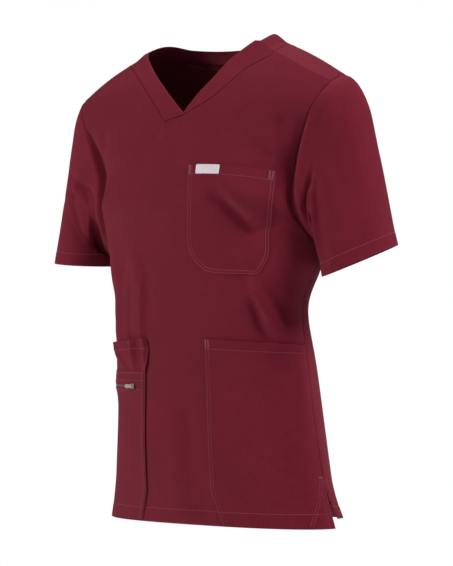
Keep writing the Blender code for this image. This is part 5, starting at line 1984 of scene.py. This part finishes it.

# ------------------------------------------------------------------ the pieces, attached to their bodies in place of the model's parts

SHEETS = (
    # piece, node, slot, how it is held, what it hangs from or lies on, width, length, area
    (FRONT_CLOTH, "front_panel", "cloth", "draped", "neckband_back", 0.560, 0.750, 0.310),
    (BACK_CLOTH, "back_panel", "cloth", "draped", "neckband_back", 0.560, 0.800, 0.340),
    (SLEEVE_LEFT, "sleeve_left", "cloth", "draped", "back_panel", 0.400, 0.320, 0.085),
    (SLEEVE_RIGHT, "sleeve_right", "cloth", "draped", "back_panel", 0.400, 0.320, 0.085),
    (BAND_LEFT, "neckband_left", "cloth", "draped", "front_panel", 0.200, 0.060, 0.0100),
    (BAND_RIGHT, "neckband_right", "cloth", "draped", "front_panel", 0.230, 0.060, 0.0110),
    (BAND_BACK, "neckband_back", "cloth", "draped", "back_panel", 0.420, 0.060, 0.0220),
    (CHEST.made, "chest_pocket", "cloth", "laid", "front_panel", 0.150, 0.180, 0.0250),
    (LEFT.made, "pocket_left", "cloth", "laid", "front_panel", 0.200, 0.300, 0.0500),
    (RIGHT.made, "pocket_right", "cloth", "laid", "front_panel", 0.200, 0.300, 0.0500),
    (PHONE.made, "phone_pocket", "cloth", "laid", "pocket_right", 0.200, 0.240, 0.0360),
    (TAG.made, "chest_tag", "tag", "laid", "chest_pocket", 0.046, 0.016, 0.0007),
    (LABEL, "neck_label", "label", "laid", "back_panel", 0.064, 0.040, 0.0025),
)
for piece, node, slot, held, on, width, length, area in SHEETS:
    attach(piece, "garment")
    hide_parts(node)
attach(ZIP_TAPE_CLOTH, "garment")
for piece, body_name, node, slot in (
    (ZIP_TEETH, "garment", "zip_coil", "zip"),
    (SLIDER, "garment", "zip_slider", "metal"),
    (TAB, "pull_tab", "pull_tab", "metal"),
):
    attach(piece, body_name)
    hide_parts(node)
BODY_SEWN = (SLEEVE_LEFT_SEWN, SLEEVE_RIGHT_SEWN, FRONT_SEWN, BACK_SEWN)
for piece in (*BODY_SEWN, CHEST_SEWN, LEFT_SEWN, RIGHT_SEWN, PHONE_SEWN):
    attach(piece, "garment")
for piece, slot in ((TAG_SEWN, "tag"), (LABEL_SEWN, "label")):
    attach(piece, "garment")

# ------------------------------------------------------------------ floor, light and camera

FLOOR_Z = -1.25


def stage_finish():
    finish = Finish("studio floor")
    place = finish.own_place()
    cloud = finish.noise(place, 1.5, 2.0)
    colour = finish.mix(cloud.above(0.3, 0.7), (0.86, 0.86, 0.86, 1.0), (0.90, 0.90, 0.90, 1.0))
    return finish.surface(Base_Color=colour, Roughness=0.75)


bpy.ops.object.select_all(action="DESELECT")
bpy.ops.mesh.primitive_plane_add(size=6.0, location=(0, 0, FLOOR_Z))
FLOOR = bpy.context.active_object
FLOOR.name = "floor"
bpy.ops.object.transform_apply(location=True, rotation=True, scale=True)
FLOOR.data.materials.append(stage_finish())


def aimed(name, data, place, aim):
    """A lamp or a camera at a place, looking at another."""
    made = bpy.data.objects.new(name, data)
    bpy.context.scene.collection.objects.link(made)
    made.location = place
    made.rotation_euler = (Vector(aim) - Vector(place)).to_track_quat("-Z", "Y").to_euler()
    return made


def area_light(name, place, size, power):
    data = bpy.data.lights.new(name, "AREA")
    data.shape = "RECTANGLE"
    data.size, data.size_y = size
    data.energy = power
    aimed(name, data, place, CENTRE)


CENTRE = (0.0, 0.0, -0.35)
AMBIENT = 0.28  # light from all round
area_light("key", (-2.0, -2.7, 1.2), (1.2, 1.2), 186.0)
area_light("fill", (2.9, 0.2, 2.1), (1.0, 1.0), 245.0)
area_light("top", (0.0, 1.2, 2.5), (2.0, 1.6), 20.0)


def studio_world():
    """White behind the object, and a softer white light from all round."""
    world = bpy.data.worlds.new("studio")
    bpy.context.scene.world = world
    world.use_nodes = True
    nodes = world.node_tree.nodes
    nodes.clear()
    path = nodes.new("ShaderNodeLightPath")
    strength = nodes.new("ShaderNodeMapRange")
    strength.inputs[3].default_value = AMBIENT
    strength.inputs[4].default_value = 1.0
    back = nodes.new("ShaderNodeBackground")
    back.inputs["Color"].default_value = (1.0, 1.0, 1.0, 1.0)
    out = nodes.new("ShaderNodeOutputWorld")
    world.node_tree.links.new(path.outputs["Is Camera Ray"], strength.inputs[0])
    world.node_tree.links.new(strength.outputs[0], back.inputs["Strength"])
    world.node_tree.links.new(back.outputs[0], out.inputs[0])


studio_world()

CAMERA_PLACE = (2.231, -2.697, -0.426)
CAMERA_AIM = (0.01536, 0.01271, -0.3561)
camera_data = bpy.data.cameras.new("camera")
camera_data.lens = 147.4
camera_data.sensor_width = 36.0
bpy.context.scene.camera = aimed("camera", camera_data, CAMERA_PLACE, CAMERA_AIM)
bpy.context.scene.view_settings.view_transform = "Standard"
